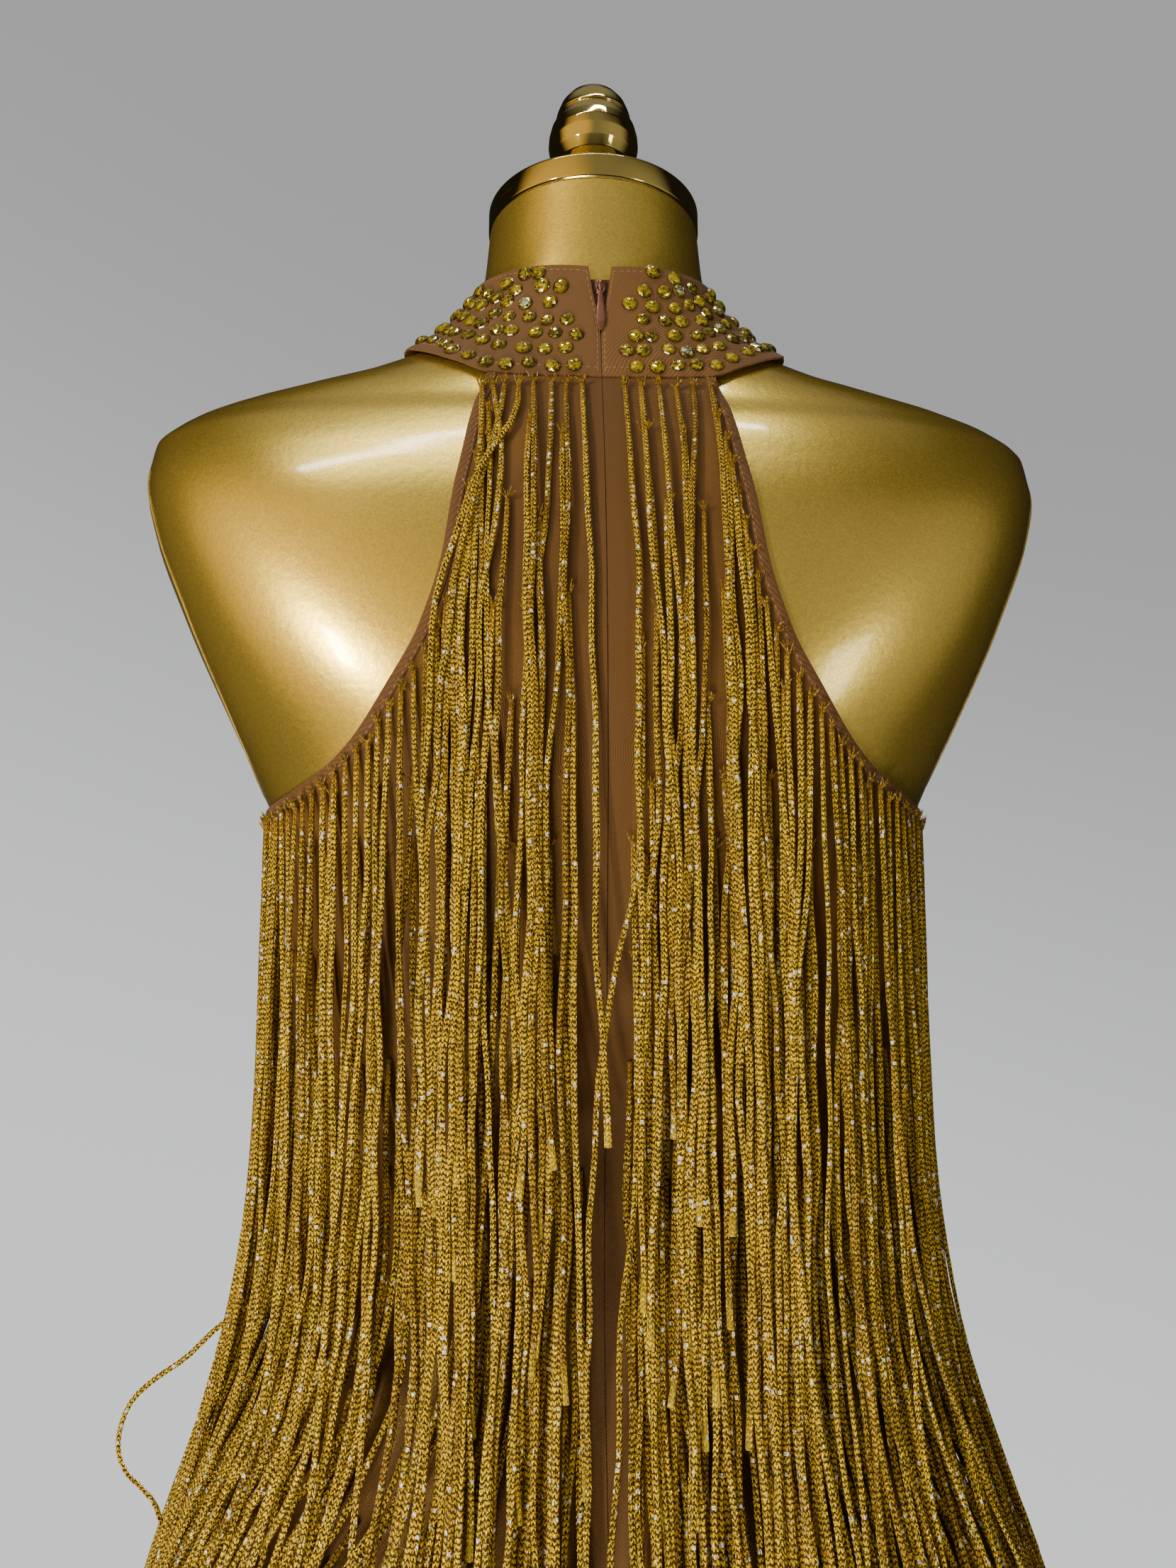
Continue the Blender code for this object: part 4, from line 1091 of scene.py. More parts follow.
def make_panel(name, shares, centre, cloth, material):
    """One panel of stretch mesh as a thin shell."""
    low, high = PANEL_ROWS[0].centre_height, PANEL_ROWS[-1].centre_height
    heights = np.linspace(low, high, round((high - low) / PANEL_RING_STEP))
    inner, normal = panel_grid(shares[None, :], centre, heights)
    parts = Parts()
    add_shell(parts, inner + normal * cloth.mesh_thickness, normal, cloth.mesh_thickness)
    return parts.make(name, material, sharp=CLOTH_CORNER_ANGLE)


def armhole_line(side, level):
    """One armhole's edge, from the back of the collar under the arm to its front, and the way out."""
    heights = np.linspace(ARMHOLE_TOP - ARMHOLE_LINE_DROP, ARMHOLE_BOTTOM, ARMHOLE_POINTS)
    back_angle, edge = edge_angle_at(heights), edge_height_at(heights)
    angle = np.concatenate((back_angle, 180 - back_angle[::-1][1:])) * side
    height = np.concatenate((edge, edge[::-1][1:]))
    height = np.minimum(height, collar_bottom_at(turn_from_back(angle)) - SEAM_GAP)
    return off_body(angle, height, level), body_normal(angle, height)


def evenly(points, outward, spacing):
    """A line resampled at an even spacing, with its ways out."""
    run = lengths_along(points)
    places = np.linspace(0, run[-1], max(2, round(run[-1] / spacing)))
    spread = [np.interp(places, run, points[:, i]) for i in range(3)]
    facing = [np.interp(places, run, outward[:, i]) for i in range(3)]
    return np.stack(spread, -1), unit(np.stack(facing, -1))


def make_binding(side, cloth, material):
    """The narrow bound edge of one armhole, folded over the mesh."""
    line, outward = evenly(*armhole_line(side, PANEL_OFFSET + 0.5 * cloth.mesh_thickness), 3 * MM)
    along = unit(np.gradient(line, axis=0))
    inward = unit(np.cross(along, outward)) * side
    width, half = cloth.binding_width, 0.5 * cloth.mesh_thickness + BINDING_LAYER
    rings = [line + inward * (width * a) + outward * (half * b) for a, b in BINDING_SECTION]
    points = np.stack(rings, 1)
    columns = len(BINDING_SECTION)
    run = lengths_along(line)
    uv = np.stack(np.broadcast_arrays(run[:, None], np.arange(columns + 1) * 0.6 * MM), -1)
    quads = grid_faces(len(line), columns, closed=True)
    i, j = np.divmod(np.arange(len(quads)), columns)
    quad_uv = np.stack((uv[i, j], uv[i, j + 1], uv[i + 1, j + 1], uv[i + 1, j]), 1)
    if side < 0:
        quads, quad_uv = quads[:, ::-1], quad_uv[:, ::-1]
    ends = [np.arange(columns), (len(line) - 1) * columns + np.arange(columns)]
    ends = [e[::-1] if (k == 0) == (side > 0) else e for k, e in enumerate(ends)]
    parts = Parts()
    parts.add(points, [quads, *(e[None] for e in ends)], [quad_uv, *(np.zeros((columns, 2)) for _ in ends)])
    return parts.make(f"armhole_binding_{side_name(side)}", material, sharp=CLOTH_CORNER_ANGLE)


def add_stitches(parts, line, outward, rng):
    """Add a row of stitches that lie along a line."""
    places, facing = evenly(line, outward, STITCH_LENGTH + STITCH_GAP)
    along = unit(np.gradient(places, axis=0))
    across = unit(np.cross(along, facing))
    lean = rng.uniform(-0.08, 0.08, len(places))[:, None]
    along = unit(along + across * lean)
    shares = np.array((-0.5, -0.3, 0.0, 0.3, 0.5))
    drop = np.array((-0.9, -0.1, 0.12, -0.1, -0.9)) * STITCH_WIDTH
    paths = places[:, None] + along[:, None] * (shares * STITCH_LENGTH)[None, :, None]
    paths = paths + facing[:, None] * drop[None, :, None]
    facing = np.repeat(facing[:, None], len(shares), 1)
    add_tubes(parts, paths, facing, STITCH_WIDTH, STITCH_WIDTH, 4)


def make_binding_stitches(side, cloth, material, rng):
    """The row of stitches that holds one armhole's binding."""
    line, outward = armhole_line(side, PANEL_OFFSET + cloth.mesh_thickness + BINDING_RISE)
    inward = unit(np.cross(unit(np.gradient(line, axis=0)), outward)) * side
    parts = Parts()
    add_stitches(parts, line + inward * (BINDING_SEAM_SHARE * cloth.binding_width), outward, rng)
    return parts.make(f"binding_stitches_{side_name(side)}", material)


def make_hem(cloth, material):
    """The turned-up hem, a double layer round the bottom of the panels."""
    heights = np.linspace(PANEL_ROWS[0].centre_height, PANEL_ROWS[0].centre_height + HEM_HEIGHT, 5)
    angle, height = np.meshgrid(np.linspace(-179.9, 179.9, 181), heights)
    normal = body_normal(angle, height)
    reach = PANEL_OFFSET + cloth.mesh_thickness + HEM_GAP + HEM_THICKNESS + fold_rise(angle, height)
    parts = Parts()
    add_shell(parts, body_point(angle, height) + normal * reach[..., None], normal, HEM_THICKNESS)
    return parts.make("hem_band", material, sharp=CLOTH_CORNER_ANGLE)


# Collar and stones


def collar_place(share_round, rise):
    """Angle and height at a share of the way round the collar and a share of its height."""
    centre_height = collar_bottom_at(0) + (collar_top_at(0) - collar_bottom_at(0)) * rise
    start = np.degrees(np.arcsin(notch_at(centre_height) / back_depth_at(centre_height)))
    angle = start + (360 - 2 * start) * share_round
    turn = turn_from_back(angle)
    height = collar_bottom_at(turn) + (collar_top_at(turn) - collar_bottom_at(turn)) * rise
    return angle, height


def make_collar(cloth, material):
    """The halter collar: a firm band, open at the centre back, with softly rolled edges."""
    share, rise = np.meshgrid(np.linspace(0, 1, COLLAR_COLUMNS), np.linspace(0, 1, COLLAR_RINGS))
    angle, height = collar_place(share, rise)
    normal = body_normal(angle, height)
    to_hem, to_slit = np.minimum(rise, 1 - rise) * COLLAR_HEIGHT, np.minimum(share, 1 - share) * COLLAR_LENGTH
    roll = np.exp(-(np.minimum(to_hem, to_slit) / EDGE_ROLL_WIDTH) ** 2) * EDGE_ROLL
    ripple = COLLAR_RIPPLE * np.sin(angle * 0.31 + rise * 4) * np.sin(math.pi * rise)
    outer = off_body(angle, height, COLLAR_OFFSET + cloth.collar_thickness - roll + ripple)
    parts = Parts()
    add_shell(parts, outer, normal, cloth.collar_thickness - 2 * roll)
    return parts.make("collar_band", material, sharp=CLOTH_CORNER_ANGLE)


def make_collar_stitches(cloth, material, rng):
    """Topstitching along the collar's hem, its top edge and both sides of the slit."""
    level = COLLAR_OFFSET + cloth.collar_thickness + STITCH_LIFT
    count = 400
    length = lengths_along(off_body(*collar_place(np.linspace(0, 1, count), np.zeros(count)), level))[-1]
    shares = np.linspace(STITCH_INSET / length, 1 - STITCH_INSET / length, count)
    rises = np.linspace(0.06, 0.94, 60)
    from_slit = SLIT_STITCH_INSET / length
    lines = [(shares, np.full(count, rise)) for rise in (0.075, 0.955)]
    lines += [(np.full(60, share), rises) for share in (from_slit, 1 - from_slit)]
    parts = Parts()
    for line in lines:
        angle, height = collar_place(*line)
        add_stitches(parts, off_body(angle, height, level), body_normal(angle, height), rng)
    return parts.make("collar_topstitch", material)


def stone_places(trim, rng):
    """Angles and heights of the stones: staggered rows, each stone set a little off by hand."""
    angles = np.linspace(0, 360, 1440)
    turn = turn_from_back(angles)
    found = []
    row = 0
    rise = STONE_MARGIN + 0.6 * MM
    while rise < COLLAR_HEIGHT + 10 * MM:
        height = collar_bottom_at(turn) + rise
        fits = height < collar_top_at(turn) - STONE_MARGIN * 0.8
        line = body_point(angles, height)
        run = lengths_along(line)
        stagger = trim.stone_pitch * (0.5 if row % 2 else 0.0)
        places = np.arange(trim.stone_pitch * 0.5 + stagger, run[-1], trim.stone_pitch)
        places = places + rng.uniform(-STONE_ALONG, STONE_ALONG, len(places))
        for place in places:
            angle = np.interp(place, run, angles)
            at = float(np.interp(angle, angles, height)) + rng.uniform(-STONE_UP, STONE_UP)
            x = abs(body_point(angle, at)[0]) if turn_from_back(angle) < 90 else 1.0
            near_slit = x < notch_at(at) + STONE_CLEAR_OF_SLIT
            if np.interp(angle, angles, fits) > 0.99 and not near_slit and rng.random() > STONES_LOST:
                found.append((angle, at))
        row += 1
        rise += trim.stone_pitch * STONE_ROW_RISE
    return np.array(found)


def make_stones(trim, cloth, material, rng):
    """Round faceted stones with a flat table, each seated on the collar in a low rim."""
    places = stone_places(trim, rng)
    base = off_body(places[:, 0], places[:, 1], np.full(len(places), COLLAR_OFFSET + cloth.collar_thickness))
    normal = unit(body_normal(places[:, 0], places[:, 1]) + rng.normal(0, 0.05, (len(places), 3)))
    across = unit(np.cross(normal, (0.0, 0.0, 1.0)))
    upward = np.cross(across, normal)
    turns = math.tau * np.arange(STONE_SIDES) / STONE_SIDES
    s = np.arange(STONE_SIDES)
    t = (s + 1) % STONE_SIDES
    faces = []
    for low in range(0, (len(STONE_RINGS) - 1) * STONE_SIDES, STONE_SIDES):
        high = low + STONE_SIDES
        faces.append(np.stack((low + t, high + s, low + s), -1))
        faces.append(np.stack((high + t, high + s, low + t), -1))
    faces += [(high + s)[None, ::-1], s[None]]
    parts = Parts()
    for place, n, a, u in zip(base, normal, across, upward):
        size = 0.5 * trim.stone_width * rng.uniform(0.92, 1.06)
        spin = rng.uniform(0, math.pi)
        tone, spark = rng.random(), float(rng.random() > 1 - STONES_SPARKING)
        points, marks = [], []
        for ring in STONE_RINGS:
            way = turns + spin + ring.turn * turns[1]
            round_it = (np.outer(np.cos(way), a) + np.outer(np.sin(way), u)) * size * ring.reach
            points.append(place + round_it + n * size * ring.lift)
            marks.append(np.tile((tone, ring.depth, spark * (ring.depth < 0.5)), (STONE_SIDES, 1)))
        parts.add(np.concatenate(points), faces, marks=np.concatenate(marks))
    return parts.make("collar_stones", material, smooth=False)


# Zip


def make_zip_tape(material):
    """The zip's woven tape behind the centre back seam, up into the collar's notch."""
    heights = np.linspace(TAPE_BOTTOM, TAPE_TOP, 110)[:, None]
    shares = np.linspace(-1, 1, 13)[None, :]
    angle = np.degrees(np.arctan(TAPE_HALF_WIDTH / back_depth_at(heights))) * shares
    height = heights + 0 * shares
    parts = Parts()
    add_shell(parts, off_body(angle, height, np.full(angle.shape, TAPE_OFFSET + TAPE_THICKNESS)),
              body_normal(angle, height), TAPE_THICKNESS)
    return parts.make("zip_tape_woven", material, sharp=CLOTH_CORNER_ANGLE)


def make_zip_coil(material):
    """The closed coil of the zip, two rows of small teeth that show in the notch."""
    heights = np.arange(COIL_BOTTOM, PIVOT[2] - SLIDER_HALF_LENGTH, COIL_PITCH)
    count = len(heights)
    side = np.where(np.arange(count) % 2, 1.0, -1.0)
    base = off_body(np.zeros(count), heights, np.full(count, TAPE_OFFSET + TAPE_THICKNESS))
    paths = np.repeat(base[:, None], len(TOOTH_REACH), 1)
    paths[:, :, 0] += side[:, None] * np.array(TOOTH_REACH)
    paths[:, :, 1] -= TOOTH_LIFT
    parts = Parts()
    add_tubes(parts, paths, np.broadcast_to(BACKWARD, paths.shape), TOOTH_WIDTH, TOOTH_THICKNESS, 6)
    return parts.make("zip_coil", material)


def pull_tilt():
    """How far the pull tab leans out from straight down, as it lies on the collar."""
    low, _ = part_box("zip_pull")
    reach = -low.y + PIVOT[1] - PULL_REST_GAP
    return math.asin(reach / PULL_LENGTH)


def make_slider(material):
    """The slider: a rounded body with flared shoulders, and a bridge that holds the pull's ring."""
    x, y, z = PIVOT
    shares = np.linspace(0, 1, 13)
    flare = np.interp(shares, *zip(*SLIDER_FLARE))
    heights = z + SLIDER_HALF_LENGTH * (1 - 2 * shares)
    body = np.stack(np.broadcast_arrays(x, y + SLIDER_DEPTH, heights), -1)[None]
    parts = Parts()
    add_tubes(parts, body, np.broadcast_to(BACKWARD, body.shape), SLIDER_WIDTH, SLIDER_THICKNESS, 16,
              girth=flare[None])
    turns = np.linspace(0, math.pi, 15)
    out = y + BRIDGE_FOOT_DEPTH - BRIDGE_RISE * np.sin(turns) ** 0.7
    arch = np.stack((np.full(15, x), out, z + BRIDGE_HALF_LENGTH * np.cos(turns)), -1)
    facing = unit(np.stack((np.zeros(15), -np.sin(turns) - 1e-3, np.cos(turns)), -1))
    add_tubes(parts, arch[None], facing[None], BRIDGE_WIDTH, BRIDGE_THICKNESS, 10)
    return parts.make("zip_slider_metal", material, sharp=CLOTH_CORNER_ANGLE)


def make_pull(material):
    """The pull tab: a ring on the slider's bridge and a teardrop that hangs from it."""
    tilt = pull_tilt()
    down = np.array((0.0, -math.sin(tilt), -math.cos(tilt)))
    out = np.array((0.0, -math.cos(tilt), math.sin(tilt)))
    turns = np.linspace(0, math.tau, 33)
    ring = np.array(PIVOT) + np.outer(np.sin(turns) * RING_HALF_WIDTH, (1.0, 0.0, 0.0))
    ring = ring + np.outer(RING_HALF_WIDTH - np.cos(turns) * RING_HALF_HEIGHT, down)
    parts = Parts()
    add_tubes(parts, ring[None], np.broadcast_to(out, ring.shape)[None], RING_THICKNESS, RING_THICKNESS, 10)
    count, sides = 30, 20
    below = np.linspace(PULL_OUTLINE[0][0], PULL_OUTLINE[-1][0], count)
    half = pull_half_width_at(below)
    middle = np.interp(below, *zip(*PULL_FULLNESS))
    turn = math.tau * np.arange(sides) / sides
    across, upward = np.cos(turn), np.sign(np.sin(turn)) * np.abs(np.sin(turn)) ** 0.7
    rings = (np.array(PIVOT) + np.outer(below, down))[:, None]
    rings = rings + (half[:, None] * across)[..., None] * np.array((1.0, 0, 0))
    rings = rings + (PULL_HALF_THICKNESS * middle[:, None] * upward)[..., None] * out
    ends = [np.arange(sides)[None], ((count - 1) * sides + np.arange(sides))[None, ::-1]]
    parts.add(rings, [grid_faces(count, sides, closed=True)[:, ::-1], *ends])
    return parts.make("zip_pull_tab", material, sharp=CORNER_ANGLE)


# Fringe


def layers_under(height, root_height, rows):
    """How many rows of fringe lie under a strand. The number grows evenly as the strand passes each row."""
    share = (rows + PASSING_START - height[..., None]) / (PASSING_START - PASSING_END)
    return (np.clip(share, 0, 1) * (rows < root_height[..., None] - MM)).sum(-1)


def hang(roots, lengths, sway, strays, lift, rows):
    """Middle lines of strands that fall from their roots and are pushed out by what is under them.

    Sway and strays are how far each point has moved along the skin from its root.
    """
    place, outward = pushed_clear(roots, CLOTH_FACE + lift[:, 0])
    path, facing = [place], [outward]
    step = lengths / (sway.shape[1] - 1)
    for k in range(1, sway.shape[1]):
        aside = sway[:, k] - sway[:, k - 1] + strays[:, k] - strays[:, k - 1]
        moved = place.copy()
        moved[:, :2] += np.stack((-outward[:, 1], outward[:, 0]), -1) * aside[:, None]
        moved[:, 2] -= np.sqrt(np.maximum(step ** 2 - aside ** 2, (0.3 * step) ** 2))
        gap = CLOTH_FACE + lift[:, k] + LAYER_LIFT * layers_under(moved[:, 2], roots[:, 2], rows)
        place, outward = pushed_clear(moved, gap)
        path.append(place)
        facing.append(outward)
    path, facing = np.stack(path, 1), np.stack(facing, 1)
    for _ in range(SPAN_STEPS):
        between = 0.5 * (path[:, :-2] + path[:, 2:]) - path[:, 1:-1]
        outer = np.maximum((between * facing[:, 1:-1]).sum(-1, keepdims=True), 0)
        path[:, 1:-1] += 0.8 * outer * facing[:, 1:-1]
    path[:, 1:-1] = 0.25 * path[:, :-2] + 0.5 * path[:, 1:-1] + 0.25 * path[:, 2:]
    return path, facing


def swayed(count, lengths, pitch, rng, loose=1.0):
    """How strands stray along the skin: a slow drift, waves, and a pull towards a few neighbours."""
    one_each = (count, 1)
    share = np.linspace(0, 1, STRAND_POINTS)[None, :]
    drift = rng.normal(0, STRAND_DRIFT, one_each) * loose
    wave = rng.uniform(*SLOW_WAVE_HEIGHTS, one_each) * np.sin(
        rng.uniform(*SLOW_WAVE_TURNS, one_each) * share + rng.uniform(*PHASES, one_each))
    turns = PHASES[1] * share * lengths[:, None] / rng.uniform(*QUICK_WAVE_LENGTHS, one_each)
    quick = rng.uniform(*QUICK_WAVE_HEIGHTS, one_each) * np.sin(turns + rng.uniform(*PHASES, one_each))
    kink = rng.normal(0, STRAND_KINK, (count, STRAND_POINTS)).cumsum(1)
    clump, pull = np.zeros(one_each), np.zeros(one_each)
    i = 0
    while i < count:
        size = min(int(rng.integers(*CLUMP_SIZES)), count - i)
        clump[i:i + size, 0] = (np.arange(size) - 0.5 * (size - 1)) * pitch
        pull[i:i + size] = rng.uniform(0.1, 1.0)
        i += size
    gathered = clump * pull * np.minimum(share * 1.6, 1) ** 1.5
    return drift * share + (wave + quick + kink) * np.minimum(share * 4, 1) - gathered


def swept(roots, lengths, rng):
    """How strands stray along the skin over the hips, where many are swept out from the middle."""
    share = np.linspace(0, 1, STRAND_POINTS)[None, :]
    height = roots[:, 2:] - share * lengths[:, None]
    x, y = roots[:, :1], roots[:, 1:2]
    slope = np.zeros(x.shape)
    for sweep in SWEEPS:
        chosen = (x * sweep.side > 0) & (roots[:, 2:] < sweep.below)
        amount = np.clip((np.abs(x) - sweep.begins) / (sweep.full - sweep.begins), 0, 1)
        picked = rng.uniform(sweep.least, sweep.greatest, x.shape) * (rng.random(x.shape) < sweep.share)
        slope = np.where(chosen, picked * amount, slope)
    slope = slope * np.clip(-y / SWEEP_DEPTH, SWEEP_IN_FRONT, 1.0)
    start = SWEEP_HEIGHT + rng.normal(0, SWEEP_START_SPREAD, x.shape)
    ramp = np.clip((start - height) / SWEEP_RAMP, 0, 1)
    step = lengths[:, None] / (STRAND_POINTS - 1)
    way = np.sign(x) * np.where(y < 0, 1.0, -1.0)
    return way * SWEEP_MOST * np.tanh(np.cumsum(slope * ramp * step, 1) / SWEEP_MOST)


def add_strands(parts, fringe, roots, rng, rows, pitch, lengths=None, strays=None, tufts=False, loose=1.0):
    """Hang strands from their roots and add them to parts, with frayed heads where they show."""
    count = len(roots)
    if lengths is None:
        lengths = fringe.strand_length * rng.uniform(SHORTEST, 1.0 + LONGEST_FRAYED * tufts, count)
    if strays is None:
        strays = swept(roots, lengths, rng)
    share = np.linspace(0, 1, STRAND_POINTS)[None, :]
    lift = rng.uniform(*STRAND_LIFTS, (count, 1)) * np.minimum(share * 6, 1)
    lift = 0.5 * fringe.strand_thickness + lift + np.abs(rng.normal(0, END_LIFT, (count, 1))) * share
    path, facing = hang(roots, lengths, swayed(count, lengths, pitch, rng, loose), strays, lift, rows)
    girth = rng.uniform(0.86, 1.1, (count, 1))
    girth = girth * (1 + 0.05 * np.sin(share * 31 + rng.uniform(0, 6, (count, 1))))
    girth = girth * np.where(share > 0.985, 1.15, 1.0) * np.where(share < 0.01, 0.85, 1.0)
    twist = rng.uniform(*PHASES, (count, 1)) + share * rng.uniform(-9, 9, (count, 1))
    marks = np.zeros((count, STRAND_POINTS, 3))
    marks[..., 0] = rng.random((count, 1))
    along = share * lengths[:, None]
    marks[..., 1] = np.clip(1.0 - along / HEAD_LENGTH, 0, 1)
    near_tip = np.clip(1 - (lengths[:, None] - along) / TIP_LENGTH, 0, 1)
    marks[..., 2] = near_tip * rng.uniform(0.4, 1, (count, 1))
    add_tubes(parts, path, facing, fringe.strand_width, fringe.strand_thickness, STRAND_SIDES, girth, twist,
              fringe.link_pitch, marks)
    if tufts:
        add_tufts(parts, fringe, path[:, 0], facing[:, 0], marks[:, 0, 0], rng)


def add_tufts(parts, fringe, heads, facing, tones, rng):
    """Short frayed ends that stand up from the heads of strands."""
    heads, facing, tones = (np.repeat(values, TUFT_SPIKES, 0) for values in (heads, facing, tones))
    count = len(heads)
    across = np.stack((-facing[:, 1], facing[:, 0], np.zeros(count)), -1)
    way = facing * rng.uniform(0.1, 0.7, (count, 1)) + across * rng.normal(0, 0.36, (count, 1))
    way = unit(way + np.array((0, 0, 1.0)) * rng.uniform(0.5, 1.0, (count, 1)))
    size = rng.uniform(3.0, 6.0, (count, 1)) * MM
    start = heads + across * rng.normal(0, 0.5, (count, 1)) * MM - np.array((0, 0, 1.2 * MM))
    shares = np.array((0.0, 0.5, 1.0))
    paths = start[:, None] + way[:, None] * (size * shares)[..., None]
    paths[:, 1] += facing * 0.4 * MM
    marks = np.zeros((count, 3, 3))
    marks[..., 0] = tones[:, None]
    marks[..., 1] = np.array((0.9, 0.7, 0.35))
    add_tubes(parts, paths, np.repeat(facing[:, None], 3, 1), 1.0 * MM, 0.7 * MM, 3,
              girth=np.array((1.2, 0.9, 0.25))[None], link=fringe.link_pitch, marks=marks)


def row_heights(fringe):
    """Heights of the rows of fringe round the body."""
    return FIRST_ROW_HEIGHT - fringe.row_pitch * np.arange(BODY_ROWS)


def make_body_row(index, fringe, material):
    """One row of fringe round the body, open at the centre back."""
    rng = np.random.default_rng(SEED + index)
    rows = row_heights(fringe)
    height = rows[index]
    opening = math.degrees(math.atan(ROW_HALF_OPENING / back_depth_at(height)))
    outline = lengths_along(body_point(np.linspace(0, 360, 720), height))[-1]
    count = round(outline / fringe.strand_pitch)
    angles = even_angles(height, opening, 360 - opening, count)
    angles = angles + rng.normal(0, ROOT_TURN, count)
    heights = height + rng.normal(0, ROOT_SPREAD, count)
    roots = body_point(angles, heights)
    gaps = ROW_GAPS[index]
    missing = np.where(roots[:, 1] > 0, gaps.front, np.where(roots[:, 0] < LEFT_FROM, gaps.left, gaps.right))
    roots = roots[rng.random(count) > missing]
    parts = Parts()
    add_strands(parts, fringe, roots, rng, rows, fringe.strand_pitch, tufts=index < 2)
    return parts.make(f"fringe_body_{index + 1:02d}", material)


def armhole_roots(side, front):
    """Roots just inside one quarter of the armholes' edge, closer together under the arm."""
    heights = np.linspace(ARMHOLE_TOP - ARMHOLE_ROOTS_DROP, ARMHOLE_BOTTOM, 400)
    angle, height = edge_angle_at(heights), edge_height_at(heights)
    line = body_point(angle, height)
    along = unit(np.gradient(line, axis=0))
    inward = unit(np.cross(along, body_normal(angle, height)))
    line = line + inward * ARMHOLE_INSET
    run = lengths_along(line)
    spacing_at = smooth_through(ARMHOLE_SPACING)
    places = [6 * MM]
    while places[-1] < run[-1]:
        places.append(places[-1] + float(spacing_at(np.interp(places[-1], run, height))))
    places = np.array(places[:-1])
    roots = np.stack([np.interp(places, run, line[:, i]) for i in range(3)], -1)
    if front:
        turn = 180 - np.degrees(np.arctan2(roots[:, 0], -roots[:, 1]))
        roots = body_point(turn, roots[:, 2])
    roots[:, 0] *= side
    return roots


def make_armhole_fringe(side, front, fringe, material):
    """The strands along one quarter of the armholes."""
    rng = np.random.default_rng(SEED + 100 + 2 * (side > 0) + front)
    roots = armhole_roots(side, front)
    roots[:, 2] += rng.normal(0, 0.7, len(roots)) * MM
    parts = Parts()
    add_strands(parts, fringe, roots, rng, row_heights(fringe), 4 * MM, tufts=True)
    return parts.make(f"armhole_fringe_{quarter_name(side, front)}", material)


def edge_x_at(height):
    """Distance of the armhole's edge from the centre at a height."""
    centres = np.linspace(ARMHOLE_BOTTOM, ARMHOLE_TOP, 200)
    places = body_point(edge_angle_at(centres), edge_height_at(centres))
    return np.interp(height, places[:, 2], places[:, 0])


def make_loose_fringe(side, front, fringe, material):
    """Single strands sewn here and there between the armhole and the centre."""
    rng = np.random.default_rng(SEED + 200 + 2 * (side > 0) + front)
    roots = []
    for row, height in enumerate(LOOSE_ROW_HEIGHTS):
        first = LOOSE_FIRST * (0.3 if front else 1.0) + (0.5 * LOOSE_PITCH if row % 2 else 0.0)
        xs = np.arange(first, edge_x_at(height) - LOOSE_MARGIN, LOOSE_PITCH)
        xs = xs + rng.uniform(-LOOSE_ALONG, LOOSE_ALONG, len(xs))
        heights = height + rng.uniform(-LOOSE_UP, LOOSE_UP, len(xs))
        roots.append(skin_at(side * xs, heights, front))
    parts = Parts()
    add_strands(parts, fringe, np.concatenate(roots), rng, row_heights(fringe), 3 * MM, tufts=True)
    return parts.make(f"loose_fringe_{quarter_name(side, front)}", material)


def make_collar_fringe(name, xs, height, front, fringe, material, seed):
    """Strands that hang from under the collar."""
    rng = np.random.default_rng(SEED + seed)
    xs = xs + rng.uniform(-0.6, 0.6, len(xs)) * MM
    roots = skin_at(xs, height + rng.uniform(-0.8, 0.8, len(xs)) * MM, front)
    parts = Parts()
    add_strands(parts, fringe, roots, rng, row_heights(fringe), 4 * MM, tufts=True)
    return parts.make(name, material)


def make_laid_fringe(fringe, material):
    """Strands that cross or stray, laid one by one, and the one that springs out in a loop at the left hip.
    """
    rng = np.random.default_rng(SEED + 300)
    share = np.linspace(0, 1, STRAND_POINTS)
    roots = skin_at(*(np.array([s[i] for s in LAID_STRANDS]) for i in (0, 1)))
    side = half_width_at(roots[:, 2]) - 2 * MM
    roots[:, 0] = np.clip(roots[:, 0], -side, side)
    lengths = np.array([s.length for s in LAID_STRANDS])
    strays = np.stack([smooth_through(s.strays)(share) for s in LAID_STRANDS])
    parts = Parts()
    add_strands(parts, fringe, roots, rng, row_heights(fringe), 0.0, lengths, strays, tufts=True, loose=0.2)

    line = np.array(LOOP_LINE)
    run = np.linspace(0, 1, len(line))
    x, z = (curve_value(run, values, np.gradient(values, run), share) for values in line.T)
    y = np.interp(share, (0, 1), LOOP_DEPTHS)
    path = np.stack((x, y, z), -1)[None]
    facing = np.broadcast_to((-1.0, -0.3, 0.1), path.shape)
    marks = np.zeros((1, STRAND_POINTS, 3))
    marks[..., 0] = 0.8
    add_tubes(parts, path, facing, fringe.strand_width, fringe.strand_thickness, STRAND_SIDES,
              link=fringe.link_pitch, marks=marks)
    return parts.make("laid_fringe", material)


# Settings


def colour_property(name, description, default):
    """A colour that a user can change."""
    return FloatVectorProperty(name=name, description=description, default=default, size=3, subtype="COLOR",
                               min=0.0, max=1.0)


def size_property(name, description, default):
    """A length that a user can change."""
    return FloatProperty(name=name, description=description, default=default, min=0.0, subtype="DISTANCE",
                         unit="LENGTH", precision=5)


def number_property(name, description, default, **settings):
    """A number that a user can change."""
    return FloatProperty(name=name, description=description, default=default, min=0.0, **settings)


def angle_property(name, description, degrees):
    """An angle that a user can change."""
    return FloatProperty(name=name, description=description, default=math.radians(degrees), subtype="ANGLE",
                         unit="ROTATION")


